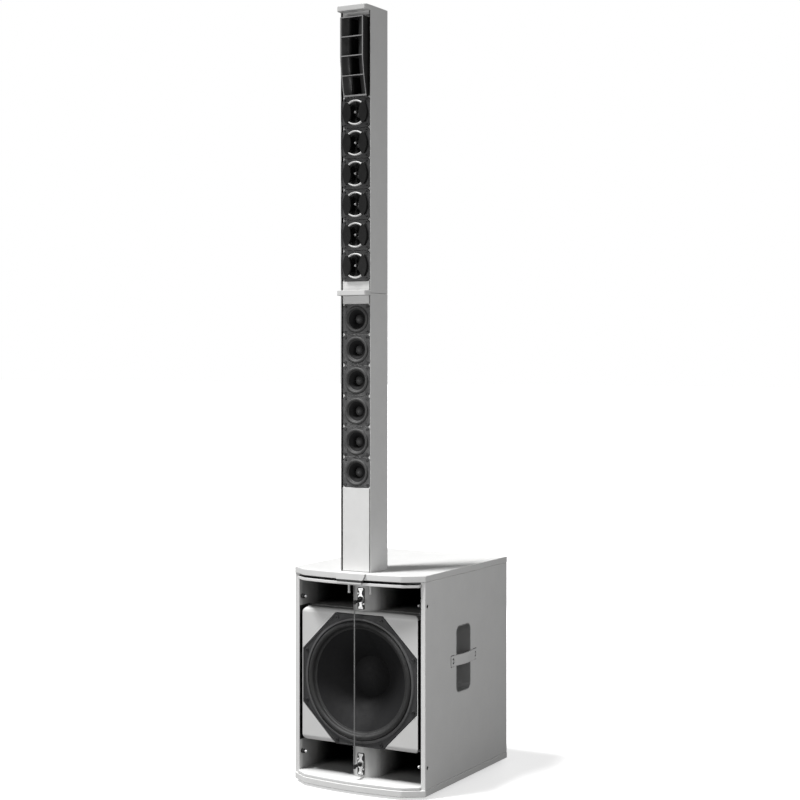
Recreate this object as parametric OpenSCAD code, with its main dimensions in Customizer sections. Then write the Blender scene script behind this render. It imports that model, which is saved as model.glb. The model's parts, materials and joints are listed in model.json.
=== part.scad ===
// Column PA system: a bass cabinet that carries a two-section column of mid drivers and a horn.
// Millimetres. +Z is up, the front faces -Y, and the origin is the centre of the footprint on the floor.

/* [Cabinet] */
// Width over the two side panels
cabinet_w = 450; // [444:1:456]
// Height from the underside of the bottom panel to the top face
cabinet_h = 641; // [638:1:644]
// Depth of the side panels, front edge to rear edge
cabinet_d = 541; // [520:1:570]
// Thickness of the side panels
side_t = 16; // [15:1:18]
// Thickness of the top and bottom panels
plate_t = 19; // [18:1:20]
// Reach of the curved lips in front of the side panels
lip_reach = 53; // [50:1:56]
// Height of the rubber feet
foot_h = 8; // [6:1:12]
// Distance from the rear edges of the side panels to the recessed rear panel
rear_inset = 22; // [20:1:30]

/* [Bass driver] */
// Height of the bass driver's centre above the cabinet's underside
woofer_z = 316; // [312:1:320]
// Distance across the flats of the octagonal driver frame
woofer_flats = 390; // [384:1:392]
// Radius of the outer edge of the surround
surround_r = 176; // [174:1:177]
// Radius of the dust cap
dust_cap_r = 60; // [56:1:62]
// Radius of the bass motor's magnet
magnet_r = 100; // [90:1:105]

/* [Ports] */
// Height of the upper port's floor above the cabinet's underside
upper_port_z = 522; // [520:1:526]
// Height of the lower port's roof above the cabinet's underside
lower_port_z = 120; // [116:1:122]
// Length of the port shelves behind the baffle
shelf_d = 306; // [260:1:330]
// Half the width of the round-nosed port dividers
divider_r = 47; // [45:1:50]

/* [Column] */
// Width and depth of the column's square section
column_w = 103; // [102:1:106]
// Length of the lower column section
lower_len = 823; // [820:1:840]
// Length of the upper column section
upper_len = 847; // [844:1:860]
// Overhang of the column in front of the side panels' front edges
column_front = 19.4; // [18:0.2:22]
// Wall thickness of the column tubes
tube_t = 2.5; // [2.5:0.1:3]
// Reach of the cap lips in front of the column
cap_reach = 25.6; // [24:0.2:27]

/* [Mid drivers] */
// Number of mid drivers in each section
mid_count = 6; // [5:1:6]
// Spacing of the mid drivers' centres
mid_pitch = 90.6; // [90.2:0.1:91]
// Height of the lowest mid driver in the lower section above the cabinet's underside
lower_mid_z = 934; // [934:1:936]
// Height of the lowest mid driver in the upper section above the cabinet's underside
upper_mid_z = 1545; // [1545:1:1546]
// Radius of the magnet on each mid driver
mid_magnet_r = 28; // [24:1:30]

/* [Horn] */
// Height of the horn's lower edge above the cabinet's underside
horn_z = 2045; // [2044:1:2046]
// Height of the horn's mouth
horn_h = 233; // [230:1:233]
// Reach of the horn's mouth in front of the column's rails
horn_reach = 23; // [20:1:25]
// Half the width of the horn's mouth, over its side walls
horn_half_w = 39.3; // [38:0.1:41]

/* [Handles] */
// Distance from the side panel's front edge to the handle pocket's centre
handle_y = 241; // [230:1:260]
// Height of the handle pocket's centre above the cabinet's underside
handle_z = 367; // [350:1:380]
// Width of the handle pocket
pocket_w = 94; // [90:1:100]
// Height of the handle pocket
pocket_h = 200; // [190:1:210]
// Depth of the handle pocket
pocket_d = 66; // [55:1:70]
// Length of the handle bar
bar_len = 168; // [160:1:176]
// Height of the handle bar's band
bar_h = 32; // [28:1:36]

/* [Rear amplifier] */
// Width of the amplifier panel
amp_w = 340; // [330:1:360]
// Height of the amplifier panel
amp_h = 240; // [230:1:250]
// Height of the amplifier panel's centre above the cabinet's underside
amp_z = 320; // [300:1:330]

/* [Hidden] */
$fn = 64;
white_paint = "gainsboro";
black_part = [0.13, 0.13, 0.13];
driver_black = [0.2, 0.2, 0.2];
bright_metal = "silver";

base_z = foot_h;
tab_proud = 4;
front_y = (lip_reach + tab_proud - cabinet_d) / 2;
rear_y = front_y + cabinet_d;
half_w = cabinet_w / 2;
inner_x = half_w - side_t;
top_z = base_z + cabinet_h;
lip_corner_x = half_w - 55;
lip_corner_y = lip_reach - 15;
rear_panel_y = rear_y - rear_inset;
rear_panel_t = 18;

strip_t = 9;
groove_h = 7;
ceiling_z = top_z - plate_t - groove_h - strip_t;
port_floor_z = base_z + plate_t + strip_t;
strip_setback = 1.5;
shelf_t = 18;
shelf_y = front_y + 54;
shelf_end_y = shelf_y + shelf_d;
divider_y = front_y + 12;
divider_end_y = front_y + 300;
nose_flat_y = divider_y + 1;

baffle_half_w = half_w - 26;
baffle_y = front_y + 1;
baffle_t = 41;
baffle_flange_t = 12;
baffle_edge_r = 16;
baffle_low_z = base_z + lower_port_z;
baffle_high_z = base_z + upper_port_z;
woofer_cz = base_z + woofer_z;
woofer_y = front_y + 2;
woofer_flange_t = 12;
woofer_hole_r = 184;
woofer_bolt_r = 198;
basket_back = 124;
coil_r = 50;
cone_edge_r = 160;
cone_edge_depth = 3;
cone_back = 84;

rod_y = front_y - 25;
rod_r = 2;
bracket_t = 3;
clamp_bolt_r = 2.9;
upper_clamp_z = base_z + 558;
lower_clamp_z = base_z + 67;
stud_y = front_y + 14;
stud_zs = [base_z + 81.5, base_z + 551];
peg_x = 37;
peg_y = front_y + 5;
peg_len = 33;

column_half = column_w / 2;
column_y = front_y - column_front;
column_rear_y = column_y + column_w;
rail_t = 1.5;
wall_y = column_y + 9.5;
wall_t = 3;
infill_half = 46.3;
infill_y = column_y + 3;
tube_in = column_half - tube_t;
column_z = top_z;
joint_z = column_z + lower_len;
column_top_z = joint_z + upper_len;
cap_lip_h = 15;
cap_plate_t = 7;
blank_h = 248;
lower_band_h = 24;
upper_band_h = 34;
top_band_h = 18;

plug_y = front_y + 47;
plug_half_x = 25;
plug_half_y = 19;
plug_gap = 0.5;
plug_wall = 3;
base_plug_len = 51;
joint_plug_len = 43;

mid_y = column_y + 6;
mid_flange_t = 3.5;
mid_half_w = 48;
mid_half_h = 44.8;
mid_corner_x = 8;
mid_corner_z = 10;
mid_hole_r = 38.3;
mid_wall_hole_r = 41.5;
mid_basket_back = 32;
mid_motor_back = 50;
mid_coil_r = 12.9;
mid_screw_x = 37;
mid_screw_z = 37;
insert_t = 3;
insert_hole_r = 35;
blade_y = 9;

horn_low_z = base_z + horn_z;
horn_high_z = horn_low_z + horn_h;
horn_wall = 2.5;
horn_cells = 4;
horn_back_y = column_y + 62;
horn_flange_y = column_y + 6;
horn_driver_y = column_y + 66;
horn_flare_depth = 14;
horn_flare_half = 16;
// How far the mouth lies back, for a share of the way down from the horn's middle to its foot.
function horn_setback(down) = 20 * pow(down, 1.4);

handle_cy = front_y + handle_y;
handle_cz = base_z + handle_z;
bar_end_t = 3;
bar_rise = 8;
handle_screw_reach = 72;

amp_cz = base_z + amp_z;
amp_plate_t = 3;
amp_face_y = rear_panel_y + amp_plate_t;
amp_lap = 15;
fin_x0 = 54;
fin_pitch = 8;
fin_count = 13;
socket_xs = [-138, -100, -62];
socket_z = amp_cz + 78;
socket_r = 9.6;
socket_depth = 14;
inlet_x = -132;
inlet_z = amp_cz - 74;
inlet_r = 11.5;
inlet_depth = 16;
knob_xs = [-126, -76];
knob_z = amp_cz + 12;
knob_r = 8.5;
shaft_r = 3;
shaft_clear = 0.06;
rocker_x = -76;
rocker_z = amp_cz - 74;
rocker_r = 11;
rocker_w = 12;
rocker_y = rear_panel_y - 3;

// ---------- Shared shapes ----------

// A box between two corners.
module block(x0, x1, y0, y1, z0, z1) {
    translate([x0, y0, z0]) cube([x1 - x0, y1 - y0, z1 - z0]);
}

// An outline in X and Z, extruded from y0 to y1.
module slab_y(y0, y1) {
    translate([0, y1, 0]) rotate([90, 0, 0]) linear_extrude(height = y1 - y0) children();
}

// An outline in Y and Z, extruded from x0 to x1.
module slab_x(x0, x1) {
    translate([x0, 0, 0]) rotate([90, 0, 90]) linear_extrude(height = x1 - x0) children();
}

// A cylinder along Y.
module rod_along_y(x, z, y0, y1, r) {
    translate([x, y0, z]) rotate([-90, 0, 0]) cylinder(h = y1 - y0, r = r);
}

// A cylinder along X.
module rod_along_x(y, z, x0, x1, r) {
    translate([x0, y, z]) rotate([0, 90, 0]) cylinder(h = x1 - x0, r = r);
}

// A turned shape around a line along Y: outline points are [radius, depth behind y].
module turned_y(x, y, z, outline) {
    translate([x, y, z]) rotate([-90, 0, 0]) rotate_extrude() polygon(outline);
}

module rounded_rect(x0, x1, z0, z1, r) {
    translate([x0 + r, z0]) square([x1 - x0 - 2 * r, z1 - z0]);
    translate([x0, z0 + r]) square([x1 - x0, z1 - z0 - 2 * r]);
    for (x = [x0 + r, x1 - r], z = [z0 + r, z1 - r]) translate([x, z]) circle(r = r);
}

function arc(cx, cy, r, from, to, steps) =
    [for (i = [0:steps]) [cx + r * cos(from + (to - from) * i / steps),
                          cy + r * sin(from + (to - from) * i / steps)]];

// Plan of the top and bottom panels: straight facets at the corners, one long curve between them.
function lip_radius() = (pow(lip_corner_x, 2) + pow(lip_reach - lip_corner_y, 2))
    / (2 * (lip_reach - lip_corner_y));
function lip_sweep() = asin(lip_corner_x / lip_radius());
function lip_curve(setback) =
    arc(0, front_y - lip_reach + lip_radius(), lip_radius() - setback,
        270 - lip_sweep(), 270 + lip_sweep(), 30);

module lip_plan(setback, back_y) {
    polygon(concat([[-half_w, back_y], [-half_w, front_y + setback]], lip_curve(setback),
                   [[half_w, front_y + setback], [half_w, back_y]]));
}

// Trapezium outline of the catch at the middle of the upper lip.
module catch_outline(gap) {
    polygon([[-54 - gap, top_z + 1], [54 + gap, top_z + 1], [54 + gap, top_z],
             [40 + gap, ceiling_z + 4 - gap], [-40 - gap, ceiling_z + 4 - gap], [-54 - gap, top_z]]);
}

module catch_notch() {
    slab_y(front_y - 70, front_y - 46) catch_outline(0.8);
}

// ---------- Cabinet shell ----------

module side_panel() {
    color(white_paint) difference() {
        block(inner_x, half_w, front_y, rear_y, base_z + plate_t, top_z - plate_t);
        slab_x(inner_x - 1, half_w + 1) pocket_outline(0);
        for (z = stud_zs) rod_along_x(stud_y, z, inner_x - 1, half_w + 1, 3.2);
        for (z = stud_zs) rod_along_x(stud_y, z, half_w - 4, half_w + 1, 5.5);
        for (side = [-1, 1])
            rod_along_x(handle_cy + side * handle_screw_reach, handle_cz, inner_x - 1, half_w + 1, 2.4);
    }
}

module side_panel_right() side_panel();

module side_panel_left() mirror([1, 0, 0]) side_panel();

module socket_well(z0, z1) {
    block(-plug_half_x - plug_gap - plug_wall, plug_half_x + plug_gap + plug_wall,
          plug_y - plug_half_y - plug_gap - plug_wall, plug_y + plug_half_y + plug_gap + plug_wall,
          z0, z1);
}

module top_panel() {
    color(white_paint) difference() {
        translate([0, 0, top_z - plate_t]) linear_extrude(height = plate_t) lip_plan(0, rear_y);
        socket_well(top_z - plate_t - 1, top_z + 1);
        catch_notch();
    }
}

module bottom_panel() {
    color(white_paint)
        translate([0, 0, base_z]) linear_extrude(height = plate_t) lip_plan(0, rear_y);
}

// Plan of the strips between the side panels, which follow the lips a little behind them.
module strip_plan(back_y) {
    intersection() {
        lip_plan(strip_setback, back_y);
        translate([-inner_x, front_y - lip_reach]) square([2 * inner_x, back_y - front_y + lip_reach]);
    }
}

module port_ceiling() {
    color(white_paint) difference() {
        union() {
            translate([0, 0, ceiling_z]) linear_extrude(height = strip_t) strip_plan(shelf_end_y);
            block(-inner_x, inner_x, front_y, shelf_end_y, ceiling_z + strip_t - 1, top_z - plate_t);
        }
        socket_well(ceiling_z - 1, top_z);
        catch_notch();
    }
}

module port_floor() {
    color(white_paint)
        translate([0, 0, base_z + plate_t]) linear_extrude(height = strip_t) strip_plan(shelf_end_y);
}

module rear_panel() {
    color(white_paint) difference() {
        block(-inner_x, inner_x, rear_panel_y - rear_panel_t, rear_panel_y,
              base_z + plate_t, top_z - plate_t);
        block(-amp_w / 2 + amp_lap, amp_w / 2 - amp_lap, rear_panel_y - rear_panel_t - 1,
              rear_panel_y + 1, amp_cz - amp_h / 2 + amp_lap, amp_cz + amp_h / 2 - amp_lap);
        amp_screw_places() rod_along_y(0, 0, rear_panel_y - 14, rear_panel_y + 1, 1.8);
    }
}

module woofer_octagon(flats) {
    translate([0, woofer_cz]) rotate(22.5) circle(r = flats / 2 / cos(22.5), $fn = 8);
}

module woofer_bolt_places() {
    for (i = [0:7])
        translate([woofer_bolt_r * cos(22.5 + 45 * i), 0, woofer_cz + woofer_bolt_r * sin(22.5 + 45 * i)])
            children();
}

module baffle_edge_profile() {
    low = baffle_low_z + baffle_edge_r;
    high = baffle_high_z - baffle_edge_r;
    translate([baffle_y, low]) square([baffle_t, high - low]);
    translate([baffle_y + baffle_edge_r, baffle_low_z])
        square([baffle_t - baffle_edge_r, baffle_high_z - baffle_low_z]);
    for (z = [low, high]) translate([baffle_y + baffle_edge_r, z]) circle(r = baffle_edge_r);
}

module woofer_baffle() {
    color(white_paint) difference() {
        union() {
            intersection() {
                slab_x(-baffle_half_w, baffle_half_w) baffle_edge_profile();
                slab_y(baffle_y - 1, baffle_y + baffle_t + 1)
                    rounded_rect(-baffle_half_w, baffle_half_w, baffle_low_z, baffle_high_z, 18);
            }
            block(-inner_x, inner_x, baffle_y + baffle_t, baffle_y + baffle_t + baffle_flange_t,
                  baffle_low_z, baffle_high_z);
        }
        rod_along_y(0, woofer_cz, baffle_y - 1, shelf_y + 1, woofer_hole_r);
        slab_y(baffle_y - 1, woofer_y + woofer_flange_t) woofer_octagon(woofer_flats + 4);
        woofer_bolt_places() rod_along_y(0, 0, baffle_y, baffle_y + 36, 3.2);
    }
}

module port_shelf(z0) {
    color(white_paint) block(-inner_x, inner_x, shelf_y, shelf_end_y, z0, z0 + shelf_t);
}

module port_shelf_upper() port_shelf(baffle_high_z - shelf_t);

module port_shelf_lower() port_shelf(baffle_low_z);

module divider_plan() {
    intersection() {
        union() {
            translate([0, divider_y + divider_r]) circle(r = divider_r);
            translate([-divider_r, divider_y + divider_r])
                square([2 * divider_r, divider_end_y - divider_y - divider_r]);
        }
        translate([-divider_r, nose_flat_y]) square([2 * divider_r, divider_end_y - nose_flat_y]);
    }
}

module port_divider_upper() {
    color(white_paint) difference() {
        translate([0, 0, baffle_high_z]) linear_extrude(height = ceiling_z - baffle_high_z) divider_plan();
        socket_well(top_z - base_plug_len - plug_wall - 1, top_z);
    }
}

module port_divider_lower() {
    color(white_paint)
        translate([0, 0, port_floor_z]) linear_extrude(height = baffle_low_z - port_floor_z) divider_plan();
}

module rubber_feet() {
    color(black_part)
        for (x = [-1, 1] * (half_w - 42), y = [front_y + 44, rear_y - 44])
            translate([x, y, 0]) difference() {
                union() {
                    cylinder(h = foot_h, r = 17);
                    translate([0, 0, foot_h - 2]) cylinder(h = 2, r = 19);
                }
                translate([0, 0, -1]) cylinder(h = 4, r = 5);
            }
}

// ---------- Bass driver ----------

module woofer_frame() {
    color(driver_black) difference() {
        union() {
            slab_y(woofer_y, woofer_y + woofer_flange_t) woofer_octagon(woofer_flats);
            turned_y(0, woofer_y, woofer_cz,
                [[182, woofer_flange_t], [182, woofer_flange_t + 6], [108, basket_back],
                 [108, basket_back + 6], [54, basket_back + 6], [54, basket_back],
                 [98, basket_back], [174, woofer_flange_t + 4], [172, woofer_flange_t]]);
        }
        rod_along_y(0, woofer_cz, woofer_y - 1, woofer_y + woofer_flange_t, surround_r + 1);
        for (i = [0:7]) translate([0, 0, woofer_cz]) rotate([0, 45 * i, 0])
            block(-34, 34, woofer_y + woofer_flange_t + 12, woofer_y + basket_back - 8, 60, 180);
        woofer_bolt_places() rod_along_y(0, 0, woofer_y - 1, woofer_y + woofer_flange_t + 1, 3.2);
    }
}

module woofer_motor() {
    back = basket_back + 6;
    color("dimgray") turned_y(0, woofer_y, woofer_cz,
        [[coil_r + 1.5, back], [magnet_r - 4, back], [magnet_r - 4, back + 10], [magnet_r, back + 10],
         [magnet_r, back + 34], [magnet_r - 4, back + 34], [magnet_r - 4, back + 46],
         [0, back + 46], [0, back - 2], [coil_r - 2, back - 2], [coil_r - 2, back + 34],
         [coil_r + 12, back + 34], [coil_r + 12, back + 10], [coil_r + 1.5, back + 10]]);
}

// The roll that joins the cone to the frame, a half ring that bulges forwards.
module half_roll(x, y, z, middle_r, roll_r, skin) {
    turned_y(x, y, z, concat(arc(middle_r, 0, roll_r, 180, 360, 12),
                             arc(middle_r, 0, roll_r - skin, 360, 180, 12)));
}

module woofer_surround() {
    roll = (surround_r - cone_edge_r) / 2 + 1.2;
    color(black_part)
        half_roll(0, woofer_y + cone_edge_depth, woofer_cz, (surround_r + cone_edge_r) / 2 - 0.4, roll, 1.4);
}

module woofer_cone() {
    edge = cone_edge_depth;
    color(driver_black) turned_y(0, woofer_y, woofer_cz,
        [[cone_edge_r, edge], [cone_edge_r, edge + 2], [coil_r + 2.4, cone_back + 1.6],
         [coil_r + 0.6, cone_back + 1.6], [coil_r + 0.6, cone_back - 2], [cone_edge_r - 4, edge]]);
}

module woofer_dust_cap() {
    seat = 74.7;
    color(driver_black) turned_y(0, woofer_y, woofer_cz,
        concat(arc(0, seat + 92, 110, 270 + asin(dust_cap_r / 110), 270, 12),
               arc(0, seat + 92, 108.6, 270, 270 + asin((dust_cap_r - 1) / 108.6), 12)));
}

module woofer_voice_coil() {
    color("peru") turned_y(0, woofer_y, woofer_cz,
        [[coil_r - 0.6, cone_back - 2], [coil_r + 0.4, cone_back - 2],
         [coil_r + 0.4, basket_back + 24], [coil_r - 0.6, basket_back + 24]]);
}

module woofer_spider() {
    y = woofer_y + 112;
    color("tan") turned_y(0, y, woofer_cz,
        [[coil_r + 0.6, 0], [60, 0], [64, 3], [70, -2], [76, 3], [82, -2], [88, 3], [92, 1], [97, 1],
         [97, 2.4], [92, 2.4], [88, 4.4], [82, -0.6], [76, 4.4], [70, -0.6], [64, 4.4], [60, 1.4],
         [coil_r + 0.6, 1.4]]);
}

module woofer_bolts() {
    color(black_part) woofer_bolt_places() difference() {
        union() {
            rod_along_y(0, 0, woofer_y - 5, woofer_y, 5);
            rod_along_y(0, 0, woofer_y, woofer_y + 30, 3);
        }
        translate([0, woofer_y - 6, 0]) rotate([-90, 0, 0]) cylinder(h = 4, r = 2.6, $fn = 6);
    }
}

// ---------- Fittings on the cabinet's front ----------

module brace_rod() {
    color(bright_metal)
        translate([0, rod_y, lower_clamp_z - 6])
            cylinder(h = upper_clamp_z - lower_clamp_z, r = rod_r);
}

module rod_brackets() {
    face_y = nose_flat_y - bracket_t;
    color(bright_metal) for (z = [lower_clamp_z, upper_clamp_z]) {
        difference() {
            union() {
                block(-4, 4, face_y, nose_flat_y, z - 29, z + 29);
                for (end = [-27, 27]) block(-8, 8, face_y, nose_flat_y, z + end - 4, z + end + 4);
                block(-9, 9, face_y, nose_flat_y, z - 9, z + 9);
            }
            rod_along_y(0, z, face_y - 1, nose_flat_y + 1, clamp_bolt_r + 0.1);
        }
    }
}

module rod_clamps() {
    color(black_part) for (z = [lower_clamp_z, upper_clamp_z]) {
        top = z > woofer_cz;
        rod_z = top ? z - 6 : z;
        difference() {
            union() {
                rod_along_y(0, z, nose_flat_y - 9, nose_flat_y - bracket_t, 6.5);
                rod_along_y(0, z, nose_flat_y - bracket_t - 1, nose_flat_y, clamp_bolt_r);
                block(-3, 3, rod_y, nose_flat_y - 8, rod_z - 4, rod_z + 4);
                translate([0, rod_y, rod_z - 6]) cylinder(h = 12, r = 4.5);
            }
            translate([0, rod_y, rod_z - 7]) cylinder(h = 14, r = rod_r);
        }
    }
}

module grille_studs() {
    color(black_part) for (side = [0, 1]) mirror([side, 0, 0]) for (z = stud_zs) {
        rod_along_x(stud_y, z, inner_x - 9, inner_x, 7);
        rod_along_x(stud_y, z, inner_x - 17, inner_x - 9, 4);
        rod_along_x(stud_y, z, inner_x, half_w - 4, 3);
        rod_along_x(stud_y, z, half_w - 4, half_w - 1.5, 5.2);
    }
}

module grille_catch() {
    color(white_paint) intersection() {
        slab_y(front_y - lip_reach - tab_proud, front_y - 46) catch_outline(0);
        block(-60, 60, front_y - 70, front_y, base_z, top_z);
    }
}

module grille_pegs() {
    color(white_paint) for (x = [-peg_x, peg_x]) translate([x, peg_y, ceiling_z - peg_len]) {
        cylinder(h = peg_len, r = 3.2);
        cylinder(h = 6, r = 4);
    }
}

// ---------- Side handles ----------

module pocket_outline(inset) {
    rounded_rect(handle_cy - pocket_w / 2 + inset, handle_cy + pocket_w / 2 - inset,
                 handle_cz - pocket_h / 2 + inset, handle_cz + pocket_h / 2 - inset, 20 - inset);
}

module handle_pocket_right() {
    color(white_paint) difference() {
        slab_x(half_w - pocket_d, half_w) pocket_outline(0);
        slab_x(half_w - pocket_d + 3, half_w + 1) pocket_outline(2.5);
    }
}

module handle_pocket_left() mirror([1, 0, 0]) handle_pocket_right();

// Height of a smooth arch that is 1 in the middle and 0 at both ends, for t from -1 to 1.
function arch(t) = 0.5 + 0.5 * cos(180 * t);

module handle_bar_right() {
    steps = 24;
    half_len = bar_len / 2;
    gap_half = pocket_w / 2 - 3;
    outer = [for (i = [0:steps]) let (t = 2 * i / steps - 1)
        [half_w + bar_end_t + bar_rise * arch(t), handle_cy + t * half_len]];
    inner = [for (i = [steps:-1:0]) let (t = 2 * i / steps - 1)
        [half_w + (bar_rise - 5) * arch(t), handle_cy + t * gap_half]];
    color(white_paint) difference() {
        translate([0, 0, handle_cz - bar_h / 2]) linear_extrude(height = bar_h)
            polygon(concat(outer, [[half_w, handle_cy + half_len]], inner, [[half_w, handle_cy - half_len]]));
        for (side = [-1, 1]) {
            rod_along_x(handle_cy + side * handle_screw_reach, handle_cz, half_w - 1, half_w + 9, 2.4);
            rod_along_x(handle_cy + side * handle_screw_reach, handle_cz, half_w + 1, half_w + 9, 4.6);
        }
    }
}

module handle_bar_left() mirror([1, 0, 0]) handle_bar_right();

module cabinet_screws() {
    color(bright_metal) {
        for (side = [0, 1], end = [-1, 1]) mirror([side, 0, 0]) {
            rod_along_x(handle_cy + end * handle_screw_reach, handle_cz, half_w + 1, half_w + 3.4, 4.2);
            rod_along_x(handle_cy + end * handle_screw_reach, handle_cz, inner_x + 2, half_w + 1, 2.2);
        }
        amp_screw_places() {
            rod_along_y(0, 0, amp_face_y, amp_face_y + 2, 3.6);
            rod_along_y(0, 0, rear_panel_y - 12, amp_face_y, 1.6);
        }
    }
}

// ---------- Column socket and rear amplifier ----------

// A cup that takes a plug from above, with a raised contact block on its floor.
module plug_cup(rim_z, depth) {
    floor_z = rim_z - depth;
    difference() {
        socket_well(floor_z - plug_wall, rim_z);
        block(-plug_half_x - plug_gap, plug_half_x + plug_gap, plug_y - plug_half_y - plug_gap,
              plug_y + plug_half_y + plug_gap, floor_z, rim_z + 1);
    }
    block(-12, 12, plug_y - 8, plug_y + 8, floor_z - 1, floor_z + 10);
}

// The plug that fits the cup, hollowed underneath to pass the contact block.
module plug_body(rim_z, depth) {
    difference() {
        block(-plug_half_x, plug_half_x, plug_y - plug_half_y, plug_y + plug_half_y,
              rim_z - depth + 1, rim_z);
        block(-13.5, 13.5, plug_y - 9.5, plug_y + 9.5, rim_z - depth, rim_z - depth + 14);
    }
}

module column_socket() {
    color(black_part) plug_cup(top_z, base_plug_len);
}

module amp_screw_places() {
    for (x = [-1, 0, 1], z = [-1, 1])
        translate([x * (amp_w / 2 - 8), 0, amp_cz + z * (amp_h / 2 - 8)]) children();
}

module amp_panel() {
    color(black_part) difference() {
        union() {
            slab_y(rear_panel_y, amp_face_y)
                rounded_rect(-amp_w / 2, amp_w / 2, amp_cz - amp_h / 2, amp_cz + amp_h / 2, 6);
            for (i = [0:fin_count - 1])
                block(fin_x0 + i * fin_pitch, fin_x0 + i * fin_pitch + 3, amp_face_y - 0.5,
                      rear_y - 4, amp_cz - amp_h / 2 + 20, amp_cz + amp_h / 2 - 20);
        }
        amp_screw_places() rod_along_y(0, 0, rear_panel_y - 1, amp_face_y + 1, 1.8);
        for (x = socket_xs) rod_along_y(x, socket_z, rear_panel_y - 1, amp_face_y + 1, 12);
        rod_along_y(inlet_x, inlet_z, rear_panel_y - 1, amp_face_y + 1, 14);
        for (x = knob_xs)
            rod_along_y(x, knob_z, rear_panel_y - 1, amp_face_y + 1, shaft_r + shaft_clear);
        block(rocker_x - rocker_w / 2 - 0.5, rocker_x + rocker_w / 2 + 0.5, rear_panel_y - 1,
              amp_face_y + 1, rocker_z - rocker_r - 0.5, rocker_z + rocker_r + 0.5);
    }
}

module amp_board() {
    board_y = rear_panel_y - 50;
    color("darkgreen") difference() {
        union() {
            block(-140, 140, board_y - 2, board_y, amp_cz - 90, amp_cz + 90);
            for (x = [-30, 134], z = [-84, 84]) rod_along_y(x, amp_cz + z, board_y, rear_panel_y, 4);
            rod_along_y(70, amp_cz - 30, board_y - 44, board_y - 2, 42);
            for (x = [-100, -70]) rod_along_y(x, amp_cz - 50, board_y - 52, board_y - 2, 13);
            block(-120, -10, board_y - 20, board_y - 2, amp_cz + 20, amp_cz + 60);
            for (x = knob_xs) block(x - 8, x + 8, rear_panel_y - 12, rear_panel_y, knob_z - 8, knob_z + 8);
            block(rocker_x - 8, rocker_x + 8, rear_panel_y - 17, rear_panel_y, rocker_z - 13, rocker_z + 13);
        }
        for (x = knob_xs)
            rod_along_y(x, knob_z, rear_panel_y - 9, rear_panel_y + 1, shaft_r + shaft_clear);
        rod_along_x(rocker_y, rocker_z, rocker_x - rocker_w / 2 - 0.5, rocker_x + rocker_w / 2 + 0.5,
                    rocker_r + 0.5);
    }
}

module input_sockets() {
    color(black_part) for (x = socket_xs) difference() {
        union() {
            slab_y(amp_face_y, amp_face_y + 2)
                rounded_rect(x - 13, x + 13, socket_z - 15, socket_z + 15, 3);
            rod_along_y(x, socket_z, rear_panel_y - 16, amp_face_y + 1, 12);
        }
        rod_along_y(x, socket_z, amp_face_y + 2 - socket_depth, amp_face_y + 3, socket_r);
        for (a = [90, 210, 330])
            rod_along_y(x + 5 * cos(a), socket_z + 5 * sin(a), rear_panel_y - 12, rear_panel_y, 1.3);
    }
}

module mains_inlet() {
    color(black_part) difference() {
        union() {
            slab_y(amp_face_y, amp_face_y + 2)
                rounded_rect(inlet_x - 17, inlet_x + 17, inlet_z - 17, inlet_z + 17, 3);
            rod_along_y(inlet_x, inlet_z, rear_panel_y - 20, amp_face_y + 1, 14);
        }
        rod_along_y(inlet_x, inlet_z, amp_face_y + 2 - inlet_depth, amp_face_y + 3, inlet_r);
        for (dx = [-6, 0, 6])
            block(inlet_x + dx - 0.6, inlet_x + dx + 0.6, rear_panel_y - 16, rear_panel_y - 8,
                  inlet_z - 2.5, inlet_z + 2.5);
    }
}

module level_knob(x) {
    color(black_part) difference() {
        union() {
            rod_along_y(x, knob_z, amp_face_y + 0.5, rear_y - 4, knob_r);
            rod_along_y(x, knob_z, rear_panel_y - 8, amp_face_y + 1, shaft_r);
        }
        block(x - 0.6, x + 0.6, rear_y - 5, rear_y, knob_z + 2, knob_z + knob_r + 1);
    }
}

module bass_level_knob() level_knob(knob_xs[0]);

module column_level_knob() level_knob(knob_xs[1]);

// A drum that turns about its own axis, with two flats that meet in a shallow V at the face.
module power_rocker() {
    color("firebrick") difference() {
        rod_along_x(rocker_y, rocker_z, rocker_x - rocker_w / 2, rocker_x + rocker_w / 2, rocker_r);
        for (tilt = [-14, 14]) translate([rocker_x, rocker_y, rocker_z]) rotate([tilt, 0, 0])
            block(-rocker_w, rocker_w, 7.5, 20, tilt > 0 ? -20 : 0, tilt > 0 ? 0 : 20);
    }
}

// ---------- Column parts shared by both sections ----------

module tube_plan() {
    difference() {
        intersection() {
            rounded_rect(-column_half, column_half, column_y - 20, column_rear_y, 4);
            translate([-column_half, column_y]) square([column_w, column_w]);
        }
        translate([-column_half + rail_t, column_y - 1])
            square([column_w - 2 * rail_t, wall_y - column_y + 1]);
        translate([-tube_in, wall_y + wall_t])
            square([2 * tube_in, column_rear_y - tube_t - wall_y - wall_t]);
    }
}

module column_tube(z0, z1) {
    translate([0, 0, z0]) linear_extrude(height = z1 - z0) tube_plan();
}

function mid_zs(lowest) = [for (i = [0:mid_count - 1]) base_z + lowest + i * mid_pitch];

module mid_wall_holes(lowest) {
    for (z = mid_zs(lowest)) {
        rod_along_y(0, z, wall_y - 1, wall_y + wall_t + 1, mid_wall_hole_r);
        mid_screw_places(z) rod_along_y(0, 0, wall_y - 1, wall_y + wall_t + 1, 1.7);
    }
}

module mid_screw_places(z) {
    for (x = [-1, 1], dz = [-1, 1])
        translate([x * mid_screw_x, 0, z + dz * mid_screw_z]) children();
}

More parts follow.
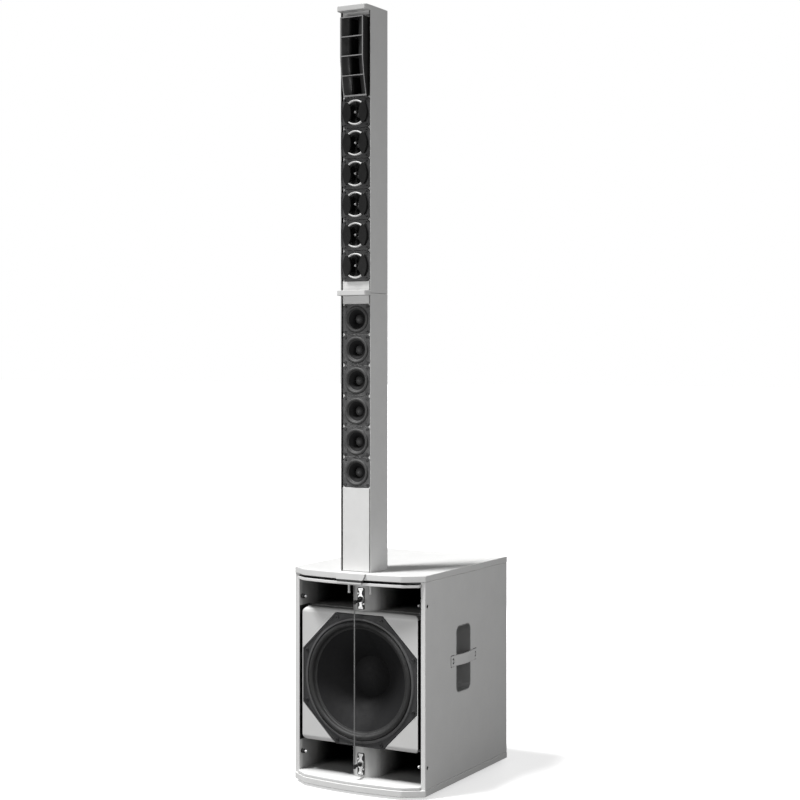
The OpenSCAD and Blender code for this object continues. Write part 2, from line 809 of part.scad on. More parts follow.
// A rectangle with its four corners cut off.
module cut_corner_outline(z) {
    translate([0, z]) polygon([
        [-mid_half_w, -mid_half_h + mid_corner_z], [-mid_half_w + mid_corner_x, -mid_half_h],
        [mid_half_w - mid_corner_x, -mid_half_h], [mid_half_w, -mid_half_h + mid_corner_z],
        [mid_half_w, mid_half_h - mid_corner_z], [mid_half_w - mid_corner_x, mid_half_h],
        [-mid_half_w + mid_corner_x, mid_half_h], [-mid_half_w, mid_half_h - mid_corner_z]]);
}

module mid_frame(z) {
    color(driver_black) difference() {
        union() {
            slab_y(mid_y, mid_y + mid_flange_t) cut_corner_outline(z);
            turned_y(0, mid_y, z,
                [[36, mid_flange_t], [41, mid_flange_t], [41, 8], [29.5, mid_basket_back],
                 [mid_coil_r + 1, mid_basket_back], [mid_coil_r + 1, mid_basket_back - 2],
                 [27.5, mid_basket_back - 2], [38, 8], [36, 5.5]]);
        }
        rod_along_y(0, z, mid_y - 1, mid_y + mid_flange_t, mid_hole_r);
        mid_screw_places(z) rod_along_y(0, 0, mid_y - 1, mid_y + mid_flange_t + 1, 1.7);
    }
}

module mid_motor(z) {
    d = mid_basket_back;
    color("dimgray") turned_y(0, mid_y, z,
        [[mid_coil_r + 0.5, d], [mid_magnet_r - 1, d], [mid_magnet_r - 1, d + 4], [mid_magnet_r, d + 4],
         [mid_magnet_r, d + 14], [mid_magnet_r - 1, d + 14], [mid_magnet_r - 1, mid_motor_back],
         [0, mid_motor_back], [0, d], [mid_coil_r - 1.2, d], [mid_coil_r - 1.2, d + 14],
         [mid_coil_r + 3, d + 14], [mid_coil_r + 3, d + 4], [mid_coil_r + 0.5, d + 4]]);
}

module mid_surround(z) {
    color(black_part) half_roll(0, mid_y + mid_flange_t, z, 35.4, 2.7, 0.8);
}

// Cone, dust cap and voice coil of one mid driver, which move as one glued assembly.
module mid_cone(z) {
    color(driver_black) turned_y(0, mid_y, z, concat(
        [[33.4, mid_flange_t], [33.4, mid_flange_t + 1.2], [mid_coil_r + 0.6, 18.6], [mid_coil_r, 18.6],
         [mid_coil_r, 38], [mid_coil_r - 0.6, 38], [mid_coil_r - 0.6, 18]],
        arc(0, 26, 14.4, 270 + 55, 270, 8),
        arc(0, 26, 15.4, 270, 270 + 55, 8),
        [[mid_coil_r + 0.4, 17.2], [32.2, mid_flange_t]]));
}

module mid_screws(z, head_y) {
    color(black_part) mid_screw_places(z) {
        rod_along_y(0, 0, head_y - 1.8, head_y, 2.9);
        rod_along_y(0, 0, head_y, wall_y + wall_t + 5, 1.5);
    }
}

// Plan of a cap's lip: a shallow bar with its front corners cut off.
module cap_lip_plan(back_y) {
    front = column_y - cap_reach;
    polygon([[-column_half, back_y], [-column_half, front + 7], [-column_half + 6, front],
             [column_half - 6, front], [column_half, front + 7], [column_half, back_y]]);
}

// The plate that closes the tube's end, from the front wall's face to the rear wall.
module end_plate(z0, z1) {
    block(-tube_in, tube_in, wall_y, column_rear_y - tube_t, z0, z1);
}

// The slot that lets an end plate through the front wall.
module end_slot(z0, z1) {
    block(-tube_in, tube_in, wall_y - 1, wall_y + wall_t + 1, z0, z1);
}

// Flat cover in the front channel between two heights.
module infill(z0, z1) {
    block(-infill_half, infill_half, infill_y, wall_y, z0, z1);
}

// ---------- Lower column section ----------

module lower_tube() {
    color(white_paint) difference() {
        column_tube(column_z, joint_z);
        mid_wall_holes(lower_mid_z);
        end_slot(joint_z - cap_plate_t, joint_z + 1);
        end_slot(column_z - 1, column_z + cap_plate_t);
    }
}

module lower_cap() {
    lip_low = joint_z - cap_plate_t;
    color(white_paint) {
        difference() {
            union() {
                translate([0, 0, lip_low]) linear_extrude(height = cap_lip_h) cap_lip_plan(column_y);
                block(-infill_half, infill_half, column_y - 1, wall_y + 1, lip_low, joint_z);
                end_plate(lip_low, joint_z);
            }
            socket_well(lip_low - 1, joint_z + 1);
        }
        infill(joint_z - cap_plate_t - lower_band_h, lip_low);
        plug_cup(joint_z, joint_plug_len);
    }
}

module lower_blank_panel() {
    color(white_paint) infill(column_z + 1, column_z + blank_h);
}

module lower_frames() for (z = mid_zs(lower_mid_z)) mid_frame(z);

module lower_motors() for (z = mid_zs(lower_mid_z)) mid_motor(z);

module lower_surrounds() for (z = mid_zs(lower_mid_z)) mid_surround(z);

module lower_cones() for (z = mid_zs(lower_mid_z)) mid_cone(z);

module lower_screws() for (z = mid_zs(lower_mid_z)) mid_screws(z, mid_y);

module lower_plug() {
    color(black_part) {
        end_plate(column_z, column_z + cap_plate_t);
        plug_body(column_z, base_plug_len);
    }
}

// ---------- Upper column section ----------

module upper_tube() {
    color(white_paint) difference() {
        column_tube(joint_z, column_top_z);
        mid_wall_holes(upper_mid_z);
        block(-41.5, 41.5, wall_y - 1, wall_y + wall_t + 1, horn_low_z + 1, horn_high_z - 1);
        end_slot(column_top_z - cap_lip_h, column_top_z + 1);
        end_slot(joint_z - 1, joint_z + cap_plate_t);
    }
}

module upper_cap() {
    lip_low = column_top_z - cap_lip_h;
    color(white_paint) {
        translate([0, 0, lip_low]) linear_extrude(height = cap_lip_h) cap_lip_plan(column_y);
        block(-infill_half, infill_half, column_y - 1, wall_y + 1, lip_low, column_top_z);
        end_plate(lip_low, column_top_z);
        infill(lip_low - top_band_h, lip_low);
    }
}

module upper_plug() {
    color(white_paint) {
        end_plate(joint_z, joint_z + cap_plate_t);
        block(-infill_half, infill_half, infill_y, wall_y + 1, joint_z, joint_z + cap_plate_t);
        infill(joint_z, joint_z + upper_band_h);
        plug_body(joint_z, joint_plug_len);
    }
}

module upper_frames() for (z = mid_zs(upper_mid_z)) mid_frame(z);

module upper_motors() for (z = mid_zs(upper_mid_z)) mid_motor(z);

module upper_surrounds() for (z = mid_zs(upper_mid_z)) mid_surround(z);

module upper_cones() for (z = mid_zs(upper_mid_z)) mid_cone(z);

module upper_screws() for (z = mid_zs(upper_mid_z)) mid_screws(z, mid_y - insert_t);

// Leaf outline of a sound blade: two arcs that meet in points above and below.
module blade_outline(z) {
    polygon(concat(arc(64, z, 50.5, 180 - 38, 180 + 38, 12), arc(-13, z, 54.5, -34.8, 34.8, 12)));
}

module dispersion_insert(z) {
    color(black_part) {
        difference() {
            slab_y(mid_y - insert_t, mid_y) cut_corner_outline(z);
            rod_along_y(0, z, mid_y - insert_t - 1, mid_y + 1, insert_hole_r);
            mid_screw_places(z) rod_along_y(0, 0, mid_y - insert_t - 1, mid_y + 1, 1.7);
        }
        for (side = [0, 1]) mirror([side, 0, 0])
            slab_y(mid_y - insert_t - blade_y, mid_y - insert_t) blade_outline(z);
        block(-1.2, 1.2, mid_y - insert_t, mid_y - 0.5, z - insert_hole_r - 1, z + insert_hole_r + 1);
        translate([0, mid_y - insert_t, z]) rotate([90, 0, 0]) cylinder(h = 10, r1 = 6, r2 = 1);
    }
}

module upper_inserts() for (z = mid_zs(upper_mid_z)) dispersion_insert(z);

// Side outline of the horn's mouth: upright above, sweeping back towards its lower edge.
module horn_side_outline() {
    sweep_h = horn_h / 2;
    polygon(concat(
        [[horn_flange_y, horn_high_z], [column_y - horn_reach, horn_high_z]],
        [for (i = [0:10]) let (t = i / 10)
            [column_y - horn_reach + horn_setback(t), horn_low_z + sweep_h * (1 - t)]],
        [[horn_flange_y, horn_low_z]]));
}

// Plan of one horn cell, which opens out quickly to a mouth that lies setback behind the horn's face.
module horn_cell_plan(setback) {
    mouth_half = horn_half_w - horn_wall;
    face_y = column_y - horn_reach;
    mouth_y = face_y + setback;
    half = [[mouth_half, face_y - 1], [mouth_half, mouth_y], [horn_flare_half, mouth_y + horn_flare_depth],
            [8, horn_back_y - 6]];
    polygon(concat(half, [for (i = [3:-1:0]) [-half[i][0], half[i][1]]]));
}

module horn() {
    cell_h = (horn_h - horn_wall) / horn_cells;
    middle_z = horn_low_z + horn_h / 2;
    color(black_part) difference() {
        union() {
            slab_x(-horn_half_w, horn_half_w) horn_side_outline();
            block(-mid_half_w, mid_half_w, horn_flange_y, wall_y, horn_low_z, horn_high_z);
            translate([0, 0, horn_low_z + 1]) linear_extrude(height = horn_h - 2)
                polygon([[-41, wall_y - 1], [41, wall_y - 1], [14, horn_back_y], [-14, horn_back_y]]);
            rod_along_y(0, middle_z, horn_back_y - 6, horn_driver_y, 30);
        }
        for (i = [0:horn_cells - 1]) {
            down = max(0, 1 - 2 * (i + 0.5) / horn_cells);
            translate([0, 0, horn_low_z + horn_wall + i * cell_h])
                linear_extrude(height = cell_h - horn_wall) horn_cell_plan(horn_setback(down));
        }
        rod_along_y(0, middle_z, horn_back_y - 10, horn_driver_y + 1, 12.5);
    }
}

module horn_driver() {
    middle_z = horn_low_z + horn_h / 2;
    color("dimgray") {
        rod_along_y(0, middle_z, horn_driver_y, horn_driver_y + 6, 36);
        rod_along_y(0, middle_z, horn_driver_y + 6, horn_driver_y + 26, 33);
        rod_along_y(0, middle_z, horn_driver_y + 26, horn_driver_y + 30, 24);
    }
}

side_panel_left();
side_panel_right();
top_panel();
bottom_panel();
rear_panel();
port_ceiling();
port_floor();
woofer_baffle();
port_shelf_upper();
port_shelf_lower();
port_divider_upper();
port_divider_lower();
woofer_frame();
woofer_motor();
woofer_surround();
woofer_spider();
woofer_bolts();
woofer_cone();
woofer_dust_cap();
woofer_voice_coil();
brace_rod();
rod_brackets();
rod_clamps();
grille_studs();
grille_catch();
grille_pegs();
handle_pocket_left();
handle_pocket_right();
handle_bar_left();
handle_bar_right();
cabinet_screws();
rubber_feet();
column_socket();
amp_panel();
amp_board();
input_sockets();
mains_inlet();
bass_level_knob();
column_level_knob();
power_rocker();
lower_tube();
lower_cap();
lower_blank_panel();
lower_frames();
lower_motors();
lower_surrounds();
lower_screws();
lower_plug();
lower_cones();
upper_tube();
upper_cap();
upper_frames();
upper_motors();
upper_surrounds();
upper_inserts();
upper_screws();
upper_plug();
upper_cones();
horn();
horn_driver();
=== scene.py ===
import json
from math import acos, asin, cos, degrees, pi, radians, sin

import bmesh
import bpy
from mathutils import Matrix, Vector


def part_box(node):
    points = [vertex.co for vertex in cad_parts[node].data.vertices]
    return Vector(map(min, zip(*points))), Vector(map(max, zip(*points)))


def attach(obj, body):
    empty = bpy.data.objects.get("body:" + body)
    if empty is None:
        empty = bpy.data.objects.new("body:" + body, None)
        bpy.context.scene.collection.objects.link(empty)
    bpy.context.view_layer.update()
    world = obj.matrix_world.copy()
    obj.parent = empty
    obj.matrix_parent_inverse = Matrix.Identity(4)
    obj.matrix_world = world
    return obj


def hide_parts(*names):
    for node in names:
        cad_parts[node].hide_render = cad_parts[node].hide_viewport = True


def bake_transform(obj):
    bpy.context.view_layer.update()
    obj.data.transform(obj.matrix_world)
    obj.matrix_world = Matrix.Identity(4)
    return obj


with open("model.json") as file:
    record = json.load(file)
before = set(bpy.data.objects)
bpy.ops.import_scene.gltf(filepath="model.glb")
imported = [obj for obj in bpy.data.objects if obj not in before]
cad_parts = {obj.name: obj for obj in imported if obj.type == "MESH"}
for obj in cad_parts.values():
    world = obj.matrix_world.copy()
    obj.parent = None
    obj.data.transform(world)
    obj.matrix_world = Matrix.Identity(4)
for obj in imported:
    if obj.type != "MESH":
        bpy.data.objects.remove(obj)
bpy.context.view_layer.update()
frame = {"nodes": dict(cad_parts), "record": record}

# Shapes are in millimetres, in the row frame; piece() brings them to metres.
MM = 0.001
SMOOTH_ANGLE = 40


def node_box(node):
    low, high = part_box(node)
    return low / MM, high / MM


def node_middle(node):
    low, high = node_box(node)
    return [(a + b) / 2 for a, b in zip(low, high)]


# ---------- Sizes taken from the frame ----------

side_low, side_high = node_box("side_panel_right")
INNER_X, HALF_W = side_low.x, side_high.x
FRONT_Y, REAR_Y = side_low.y, side_high.y
TOP_Z, BASE_Z = node_box("top_panel")[1].z, node_box("bottom_panel")[0].z
PLATE_LOW, PLATE_HIGH = side_low.z, side_high.z
LIP_Y = node_box("top_panel")[0].y
CEILING_Z = node_box("port_ceiling")[0].z
FLOOR_Z = node_box("port_floor")[1].z
STRIP_T = FLOOR_Z - PLATE_LOW
SHELF_END_Y = node_box("port_shelf_upper")[1].y
REAR_PANEL_Y = node_box("rear_panel")[1].y

baffle_low, baffle_high = node_box("woofer_baffle")
BAFFLE_Y, BAFFLE_LOW, BAFFLE_HIGH = baffle_low.y, baffle_low.z, baffle_high.z
BAFFLE_HALF_W = HALF_W - 26

woofer_low, woofer_high = node_box("woofer_frame")
WOOFER_Y = woofer_low.y
WOOFER_Z = node_middle("woofer_frame")[2]
WOOFER_FLATS = woofer_high.x - woofer_low.x
BASKET_BACK = woofer_high.y - 6

bracket_low, bracket_high = node_box("rod_brackets")
BRACKET_HALF = 31
CLAMP_ZS = (bracket_low.z + BRACKET_HALF, bracket_high.z - BRACKET_HALF)
NOSE_Y = bracket_high.y
rod_low, rod_high = node_box("brace_rod")
ROD_Y, ROD_R = node_middle("brace_rod")[1], (rod_high.x - rod_low.x) / 2

bar_low, bar_high = node_box("handle_bar_right")
HANDLE_Y, HANDLE_Z = node_middle("handle_bar_right")[1:]
pocket_low, pocket_high = node_box("handle_pocket_right")

tube_low, tube_high = node_box("lower_tube")
COLUMN_HALF = tube_high.x
COLUMN_Y, COLUMN_REAR_Y = tube_low.y, tube_high.y
COLUMN_Z, JOINT_Z = tube_low.z, tube_high.z
COLUMN_TOP_Z = node_box("upper_tube")[1].z
BLANK_TOP_Z = node_box("lower_blank_panel")[1].z
CAP_LIP_Y = node_box("upper_cap")[0].y
WALL_Y = COLUMN_Y + 9.5
WALL_T = 3
INFILL_Y = node_box("lower_blank_panel")[0].y
INFILL_HALF = node_box("lower_blank_panel")[1].x
RAIL_T = 1.5
TUBE_T = 2.5
CAP_LIP_H = 15
CAP_PLATE_T = 7

MID_Y = node_box("lower_frames")[0].y
MID_COUNT = 6
MID_PITCH = 90.6
MID_HALF_W, MID_HALF_H = 48, 44.8
MID_SCREW = 37
MID_HOLE_R = 38.3
INSERT_T = 3
INSERT_HOLE_R = 35


def mid_zs(node):
    first = node_box(node)[0].z + MID_HALF_H
    return [first + i * MID_PITCH for i in range(MID_COUNT)]


horn_low, horn_high = node_box("horn")
HORN_LOW, HORN_HIGH = horn_low.z, horn_high.z

amp_low, amp_high = node_box("amp_panel")
AMP_FACE_Y = REAR_PANEL_Y + 3


# ---------- Outlines ----------

def arc(cx, cy, radius, start, end, steps):
    """Points on an arc, with angles in degrees."""
    points = []
    for i in range(steps + 1):
        a = radians(start + (end - start) * i / steps)
        points.append((cx + radius * cos(a), cy + radius * sin(a)))
    return points


def circle(cx, cy, radius, steps=40):
    return arc(cx, cy, radius, 0, 360 * (steps - 1) / steps, steps - 1)


def rect(x0, x1, y0, y1):
    return [(x0, y0), (x1, y0), (x1, y1), (x0, y1)]


def rounded(x0, x1, y0, y1, radius, steps=6):
    corners = ((x1, y0, -90), (x1, y1, 0), (x0, y1, 90), (x0, y0, 180))
    points = []
    for x, y, start in corners:
        cx = x - radius if x == x1 else x + radius
        cy = y - radius if y == y1 else y + radius
        points += arc(cx, cy, radius, start, start + 90, steps)
    return points


def centred(cx, cy, half_w, half_h, radius, steps=6):
    return rounded(cx - half_w, cx + half_w, cy - half_h, cy + half_h, radius, steps)


def thickened(outline, inwards, backwards):
    """An outline of (radius, depth) points that runs back along itself a skin's thickness away."""
    return outline + [(r - inwards, d + backwards) for r, d in reversed(outline)]


def both_ways(half):
    """A whole outline from one half of it, with the other half mirrored about the middle."""
    return half + [(-x, y) for x, y in reversed(half)]


def octagon(flats):
    reach = flats / 2 / cos(radians(22.5))
    return arc(0, WOOFER_Z, reach, 22.5, 337.5, 7)


def cross(cx, cy, arm, half):
    offsets = [(-half, -arm), (half, -arm), (half, -half), (arm, -half), (arm, half), (half, half),
               (half, arm), (-half, arm), (-half, half), (-arm, half), (-arm, -half), (-half, -half)]
    return [(cx + dx, cy + dy) for dx, dy in offsets]


# ---------- Meshes ----------

def linked(name, data):
    obj = bpy.data.objects.new(name, data)
    bpy.context.scene.collection.objects.link(obj)
    return obj


# Each plane's matrix takes an outline (a, b) and a height c to the row frame.
PLANES = {
    "z": Matrix(((1, 0, 0, 0), (0, 1, 0, 0), (0, 0, 1, 0), (0, 0, 0, 1))),
    "y": Matrix(((1, 0, 0, 0), (0, 0, 1, 0), (0, 1, 0, 0), (0, 0, 0, 1))),
    "x": Matrix(((0, 0, 1, 0), (1, 0, 0, 0), (0, 1, 0, 0), (0, 0, 0, 1))),
}


def plate(loops, low, high, edge, plane, rounds=2):
    """A flat outline with holes, as thick as low to high along the plane's axis, with rounded edges."""
    low, high = min(low, high), max(low, high)
    curve = bpy.data.curves.new("outline", "CURVE")
    curve.dimensions = "2D"
    curve.fill_mode = "BOTH"
    curve.extrude = (high - low) / 2 - edge
    curve.bevel_depth = edge
    curve.bevel_resolution = rounds
    curve.offset = -edge
    for loop in loops:
        spline = curve.splines.new("POLY")
        spline.points.add(len(loop) - 1)
        for point, (a, b) in zip(spline.points, loop):
            point.co = (a, b, 0, 1)
        spline.use_cyclic_u = True
    carrier = linked("outline", curve)
    graph = bpy.context.evaluated_depsgraph_get()
    mesh = bpy.data.meshes.new_from_object(carrier.evaluated_get(graph))
    bpy.data.objects.remove(carrier)
    bpy.data.curves.remove(curve)
    mesh.transform(PLANES[plane] @ Matrix.Translation((0, 0, (low + high) / 2)))
    return mesh


def lathe(outline, x, y, z, axis="y", steps=64, closed=False, start=0, end=360):
    """An outline of (radius, depth) points turned about a line through x, y, z along the axis."""
    count = len(outline)
    full = abs(end - start) >= 360
    rings = steps if full else steps + 1
    verts = []
    for i in range(rings):
        a = radians(start + (end - start) * i / steps)
        verts += [(r * cos(a), r * sin(a), d) for r, d in outline]
    faces = []
    for i in range(steps):
        j = (i + 1) % rings
        for k in range(count if closed else count - 1):
            m = (k + 1) % count
            faces.append((i * count + k, i * count + m, j * count + m, j * count + k))
    if closed and not full:
        faces.append(tuple(range(count)))
        faces.append(tuple(range((rings - 1) * count, rings * count)))
    mesh = bpy.data.meshes.new("lathe")
    mesh.from_pydata(verts, [], faces)
    mesh.transform(Matrix.Translation((x, y, z)) @ PLANES[axis])
    return mesh


def joined(name, meshes):
    """One mesh of all the meshes, with touching points welded and faces turned outwards."""
    whole = bmesh.new()
    for mesh in meshes:
        whole.from_mesh(mesh)
        bpy.data.meshes.remove(mesh)
    bmesh.ops.remove_doubles(whole, verts=whole.verts, dist=0.0005)
    bmesh.ops.recalc_face_normals(whole, faces=whole.faces)
    data = bpy.data.meshes.new(name)
    whole.to_mesh(data)
    whole.free()
    return data


def carrier_object(meshes):
    return linked("solid", joined("solid", meshes))


def carved(solid, cutters, edge=0.0):
    """The solid mesh with the cutter meshes cut away, and its sharp edges bevelled."""
    body = carrier_object([solid])
    tools = [carrier_object([cutter]) for cutter in cutters]
    for tool in tools:
        cut = body.modifiers.new("cut", "BOOLEAN")
        cut.operation = "DIFFERENCE"
        cut.object = tool
        cut.solver = "EXACT"
    if edge:
        bevel = body.modifiers.new("edge", "BEVEL")
        bevel.width = edge
        bevel.segments = 3
        bevel.limit_method = "ANGLE"
        bevel.angle_limit = radians(40)
        bevel.miter_outer = "MITER_ARC"
    graph = bpy.context.evaluated_depsgraph_get()
    mesh = bpy.data.meshes.new_from_object(body.evaluated_get(graph))
    for obj in [body] + tools:
        bpy.data.objects.remove(obj)
    return mesh


def mirrored(mesh):
    """A copy of the mesh on the other side of the middle plane."""
    copy = mesh.copy()
    copy.transform(Matrix.Diagonal((-1, 1, 1, 1)))
    copy.flip_normals()
    return copy


def both_sides(meshes):
    return meshes + [mirrored(mesh) for mesh in meshes]


def piece(name, meshes, slot, body="cabinet", replaces=(), finish=None):
    """A finished piece of the object, which takes its finish from a material slot and rides on a body."""
    data = joined(name, meshes)
    data.transform(Matrix.Scale(MM, 4))
    data.shade_smooth()
    data.set_sharp_from_angle(angle=radians(SMOOTH_ANGLE))
    data.materials.append(MATERIALS[finish or slot])
    obj = linked(name, data)
    weighted = obj.modifiers.new("weighted", "WEIGHTED_NORMAL")
    weighted.keep_sharp = True
    if body:
        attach(obj, body)
    if replaces:
        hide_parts(*replaces)
    return obj


def stand_in(node, meshes, slot, body="cabinet", finish=None):
    """The piece that replaces one node of the CAD and is named after it."""
    return piece(node.title().replace("_", ""), meshes, slot, body, [node], finish)


def screw_head(a, b, seat, face, radius, plane, recess=cross):
    """A round head with a recess for the driver."""
    middle = seat + (face - seat) * 0.45
    arm = radius * 0.62
    return [plate([circle(a, b, radius, 20)], seat, middle, 0.15, plane, 1),
            plate([circle(a, b, radius, 20), recess(a, b, arm, radius * 0.17)], middle, face, 0.2, plane, 1)]


def hexagon(cx, cy, radius, _half):
    return arc(cx, cy, radius, 0, 300, 5)


# ---------- Materials ----------

def set_inputs(node, **values):
    for name, value in values.items():
        node.inputs[name.replace("_", " ")].default_value = value


def new_material(name, colour, roughness, metallic=0.0):
    material = bpy.data.materials.new(name)
    material.use_nodes = True
    set_inputs(material.node_tree.nodes["Principled BSDF"], Base_Color=(*colour, 1), Roughness=roughness,
               Metallic=metallic)
    return material


class Graph:
    """Short names for the nodes that the finishes are made of."""

    def __init__(self, material):
        self.tree = material.node_tree
        self.shader = self.tree.nodes["Principled BSDF"]
        self.place = self.node("ShaderNodeTexCoord").outputs["Object"]
        split = self.node("ShaderNodeSeparateXYZ", Vector=self.place)
        self.x, self.y, self.z = split.outputs

    def node(self, kind, **inputs):
        made = self.tree.nodes.new(kind)
        for key, value in inputs.items():
            self.put(made.inputs[key.replace("_", " ")], value)
        return made

    def put(self, socket, value):
        if isinstance(value, bpy.types.NodeSocket):
            self.tree.links.new(value, socket)
        else:
            socket.default_value = value

    def math(self, operation, a, b=0.0):
        made = self.tree.nodes.new("ShaderNodeMath")
        made.operation = operation
        self.put(made.inputs[0], a)
        self.put(made.inputs[1], b)
        return made.outputs[0]

    def times(self, a, b):
        return self.math("MULTIPLY", a, b)

    def noise(self, size, detail=3.0, stretch=(1, 1, 1)):
        """Noise whose features are about size metres wide."""
        mapping = self.node("ShaderNodeMapping", Vector=self.place, Scale=stretch)
        made = self.node("ShaderNodeTexNoise", Vector=mapping.outputs[0], Scale=1 / size, Detail=detail)
        return made.outputs["Fac"]

    def ramp(self, value, low, high, out_low, out_high):
        made = self.node("ShaderNodeMapRange", Value=value)
        made.interpolation_type = "SMOOTHSTEP"
        set_inputs(made, From_Min=low, From_Max=high, To_Min=out_low, To_Max=out_high)
        return made.outputs[0]

    def mix(self, share, first, second):
        made = self.tree.nodes.new("ShaderNodeMix")
        made.data_type = "RGBA"
        self.put(made.inputs["Factor"], share)
        for socket, value in ((made.inputs[6], first), (made.inputs[7], second)):
            self.put(socket, (*value, 1) if isinstance(value, tuple) else value)
        return made.outputs[2]

    def bump(self, height, distance, strength=1.0, under=None):
        made = self.node("ShaderNodeBump", Height=height, Distance=distance, Strength=strength)
        if under is not None:
            self.put(made.inputs["Normal"], under)
        return made.outputs[0]

    def finish(self, colour=None, roughness=None, normal=None):
        for name, value in (("Base Color", colour), ("Roughness", roughness), ("Normal", normal)):
            if value is not None:
                self.put(self.shader.inputs[name], value)


def shade(colour, factor):
    return tuple(c * factor for c in colour)


def worn(name, colour, roughness, metallic=0.0, blotch=0.08, spread=0.08, grain=0.0012, depth=0.00012,
         streak=(1, 1, 1), specular=0.5):
    """A finish with cloudy colour, uneven gloss and a fine grain."""
    material = new_material(name, colour, roughness, metallic)
    g = Graph(material)
    set_inputs(g.shader, Specular_IOR_Level=specular)
    cloud = g.noise(0.06, 5.0)
    fine = g.noise(grain, 4.0, streak)
    dark, light = shade(colour, 1 - blotch / 2), shade(colour, 1 + blotch / 2)
    speck = g.mix(g.ramp(fine, 0.35, 0.65, 0, 1), dark, light)
    tint = g.mix(g.ramp(cloud, 0.3, 0.7, 0, 0.5), speck, shade(colour, 1 - blotch))
    gloss = g.ramp(g.noise(0.02, 6.0, streak), 0.3, 0.7, roughness - spread, roughness + spread)
    g.finish(tint, gloss, g.bump(fine, depth, 0.6))
    return material, g, tint


def plain(*args, **settings):
    return worn(*args, **settings)[0]


def within(g, value, low, high):
    """1 where a length in millimetres lies between low and high, and 0 elsewhere."""
    above = g.math("GREATER_THAN", value, low * MM)
    below = g.math("LESS_THAN", value, high * MM)
    return g.times(above, below)


def in_box(g, xs, ys, zs):
    """1 inside a box that is mirrored about the middle plane."""
    share = within(g, g.math("ABSOLUTE", g.x), *xs)
    share = g.times(share, within(g, g.y, *ys))
    return g.times(share, within(g, g.z, *zs))


def painted(name, colour, roughness, grain, depth, shade_boxes, shade_fade_box=None):
    """Scuffed paint with painted shade: the shade boxes are painted black, and inside the fade box the paint
    is painted darker towards its back, where shade falls.
    """
    material, g, tint = worn(name, colour, roughness, blotch=0.05, spread=0.05, grain=grain, depth=depth)
    scuffs = g.ramp(g.noise(0.011, 8.0, (1, 0.25, 1)), 0.66, 0.72, 0, 0.12)
    tint = g.mix(scuffs, tint, shade(colour, 0.75))
    painted_shade = 0.0
    for box in shade_boxes:
        painted_shade = g.math("MAXIMUM", painted_shade, in_box(g, *box))
    # Painted shade: a slight darkening just inside the front that deepens to black towards the back.
    if shade_fade_box:
        front = shade_fade_box[1][0]
        quick = g.ramp(g.y, (front + 6) * MM, (front + 24) * MM, 0.16, 0.5)
        slow = g.ramp(g.y, front * MM, (front + 190) * MM, 0, 1)
        inside_shade = g.times(g.math("MAXIMUM", quick, slow), in_box(g, *shade_fade_box))
        painted_shade = g.math("MAXIMUM", painted_shade, inside_shade)
    # Painted shade: black wherever the boxes and the fade put it.
    g.finish(g.mix(painted_shade, tint, (0.006, 0.006, 0.006)))
    return material


def pressed_cone(name, colour, centre_z):
    """Pressed paper: fibres and faint rings about an axis at the height centre_z."""
    material, g, _ = worn(name, colour, 0.7, blotch=0.25, spread=0.05, grain=0.0016, depth=0.0002,
                          specular=0.2)
    up = g.math("SUBTRACT", g.z, centre_z * MM)
    squares = g.math("ADD", g.times(g.x, g.x), g.times(up, up))
    rings = g.math("SINE", g.times(g.math("SQRT", squares), 1400.0))
    fibres = g.bump(g.noise(0.0012, 6.0), 0.0002, 0.5)
    g.finish(normal=g.bump(rings, 0.00008, 0.5, fibres))
    return material


def moulded_horn(name, colour, highlight_colour):
    """Satin plastic with a painted highlight: its faces at the mouth that face forward are lighter."""
    material, g, tint = worn(name, colour, 0.36, blotch=0.2, grain=0.0007, depth=0.00005)
    normal = g.node("ShaderNodeTexCoord").outputs["Normal"]
    facing = g.times(g.node("ShaderNodeSeparateXYZ", Vector=normal).outputs[1], -1.0)
    front = in_box(g, EVERYWHERE, (horn_low.y - 2, horn_low.y + 24), EVERYWHERE)
    # Painted highlight on the forward-facing faces near the mouth.
    edge = g.times(front, g.ramp(facing, 0.9, 0.98, 0, 1))
    g.finish(g.mix(edge, tint, highlight_colour))
    return material


def woven(name, colour, thread):
    """Coated cloth with a visible weave."""
    material, g, _ = worn(name, colour, 0.55, blotch=0.2, spread=0.05, grain=0.0008, depth=0.0001)
    warp = g.math("SINE", g.times(g.math("ADD", g.x, g.z), 2 * pi / thread))
    weft = g.math("SINE", g.times(g.math("SUBTRACT", g.x, g.z), 2 * pi / thread))
    g.finish(normal=g.bump(g.times(warp, weft), thread * 0.15, 0.5))
    return material


def board(name):
    """Green solder mask over copper tracks."""
    material, g, _ = worn(name, (0.02, 0.12, 0.05), 0.4, blotch=0.2, grain=0.002)
    tracks = g.node("ShaderNodeTexBrick", Vector=g.place, Scale=90.0)
    set_inputs(tracks, Color1=(0.02, 0.13, 0.05, 1), Color2=(0.015, 0.09, 0.04, 1),
               Mortar=(0.05, 0.2, 0.08, 1))
    g.finish(tracks.outputs["Color"])
    return material


WHITE = (0.6, 0.6, 0.595)
EVERYWHERE = (-10000, 10000)
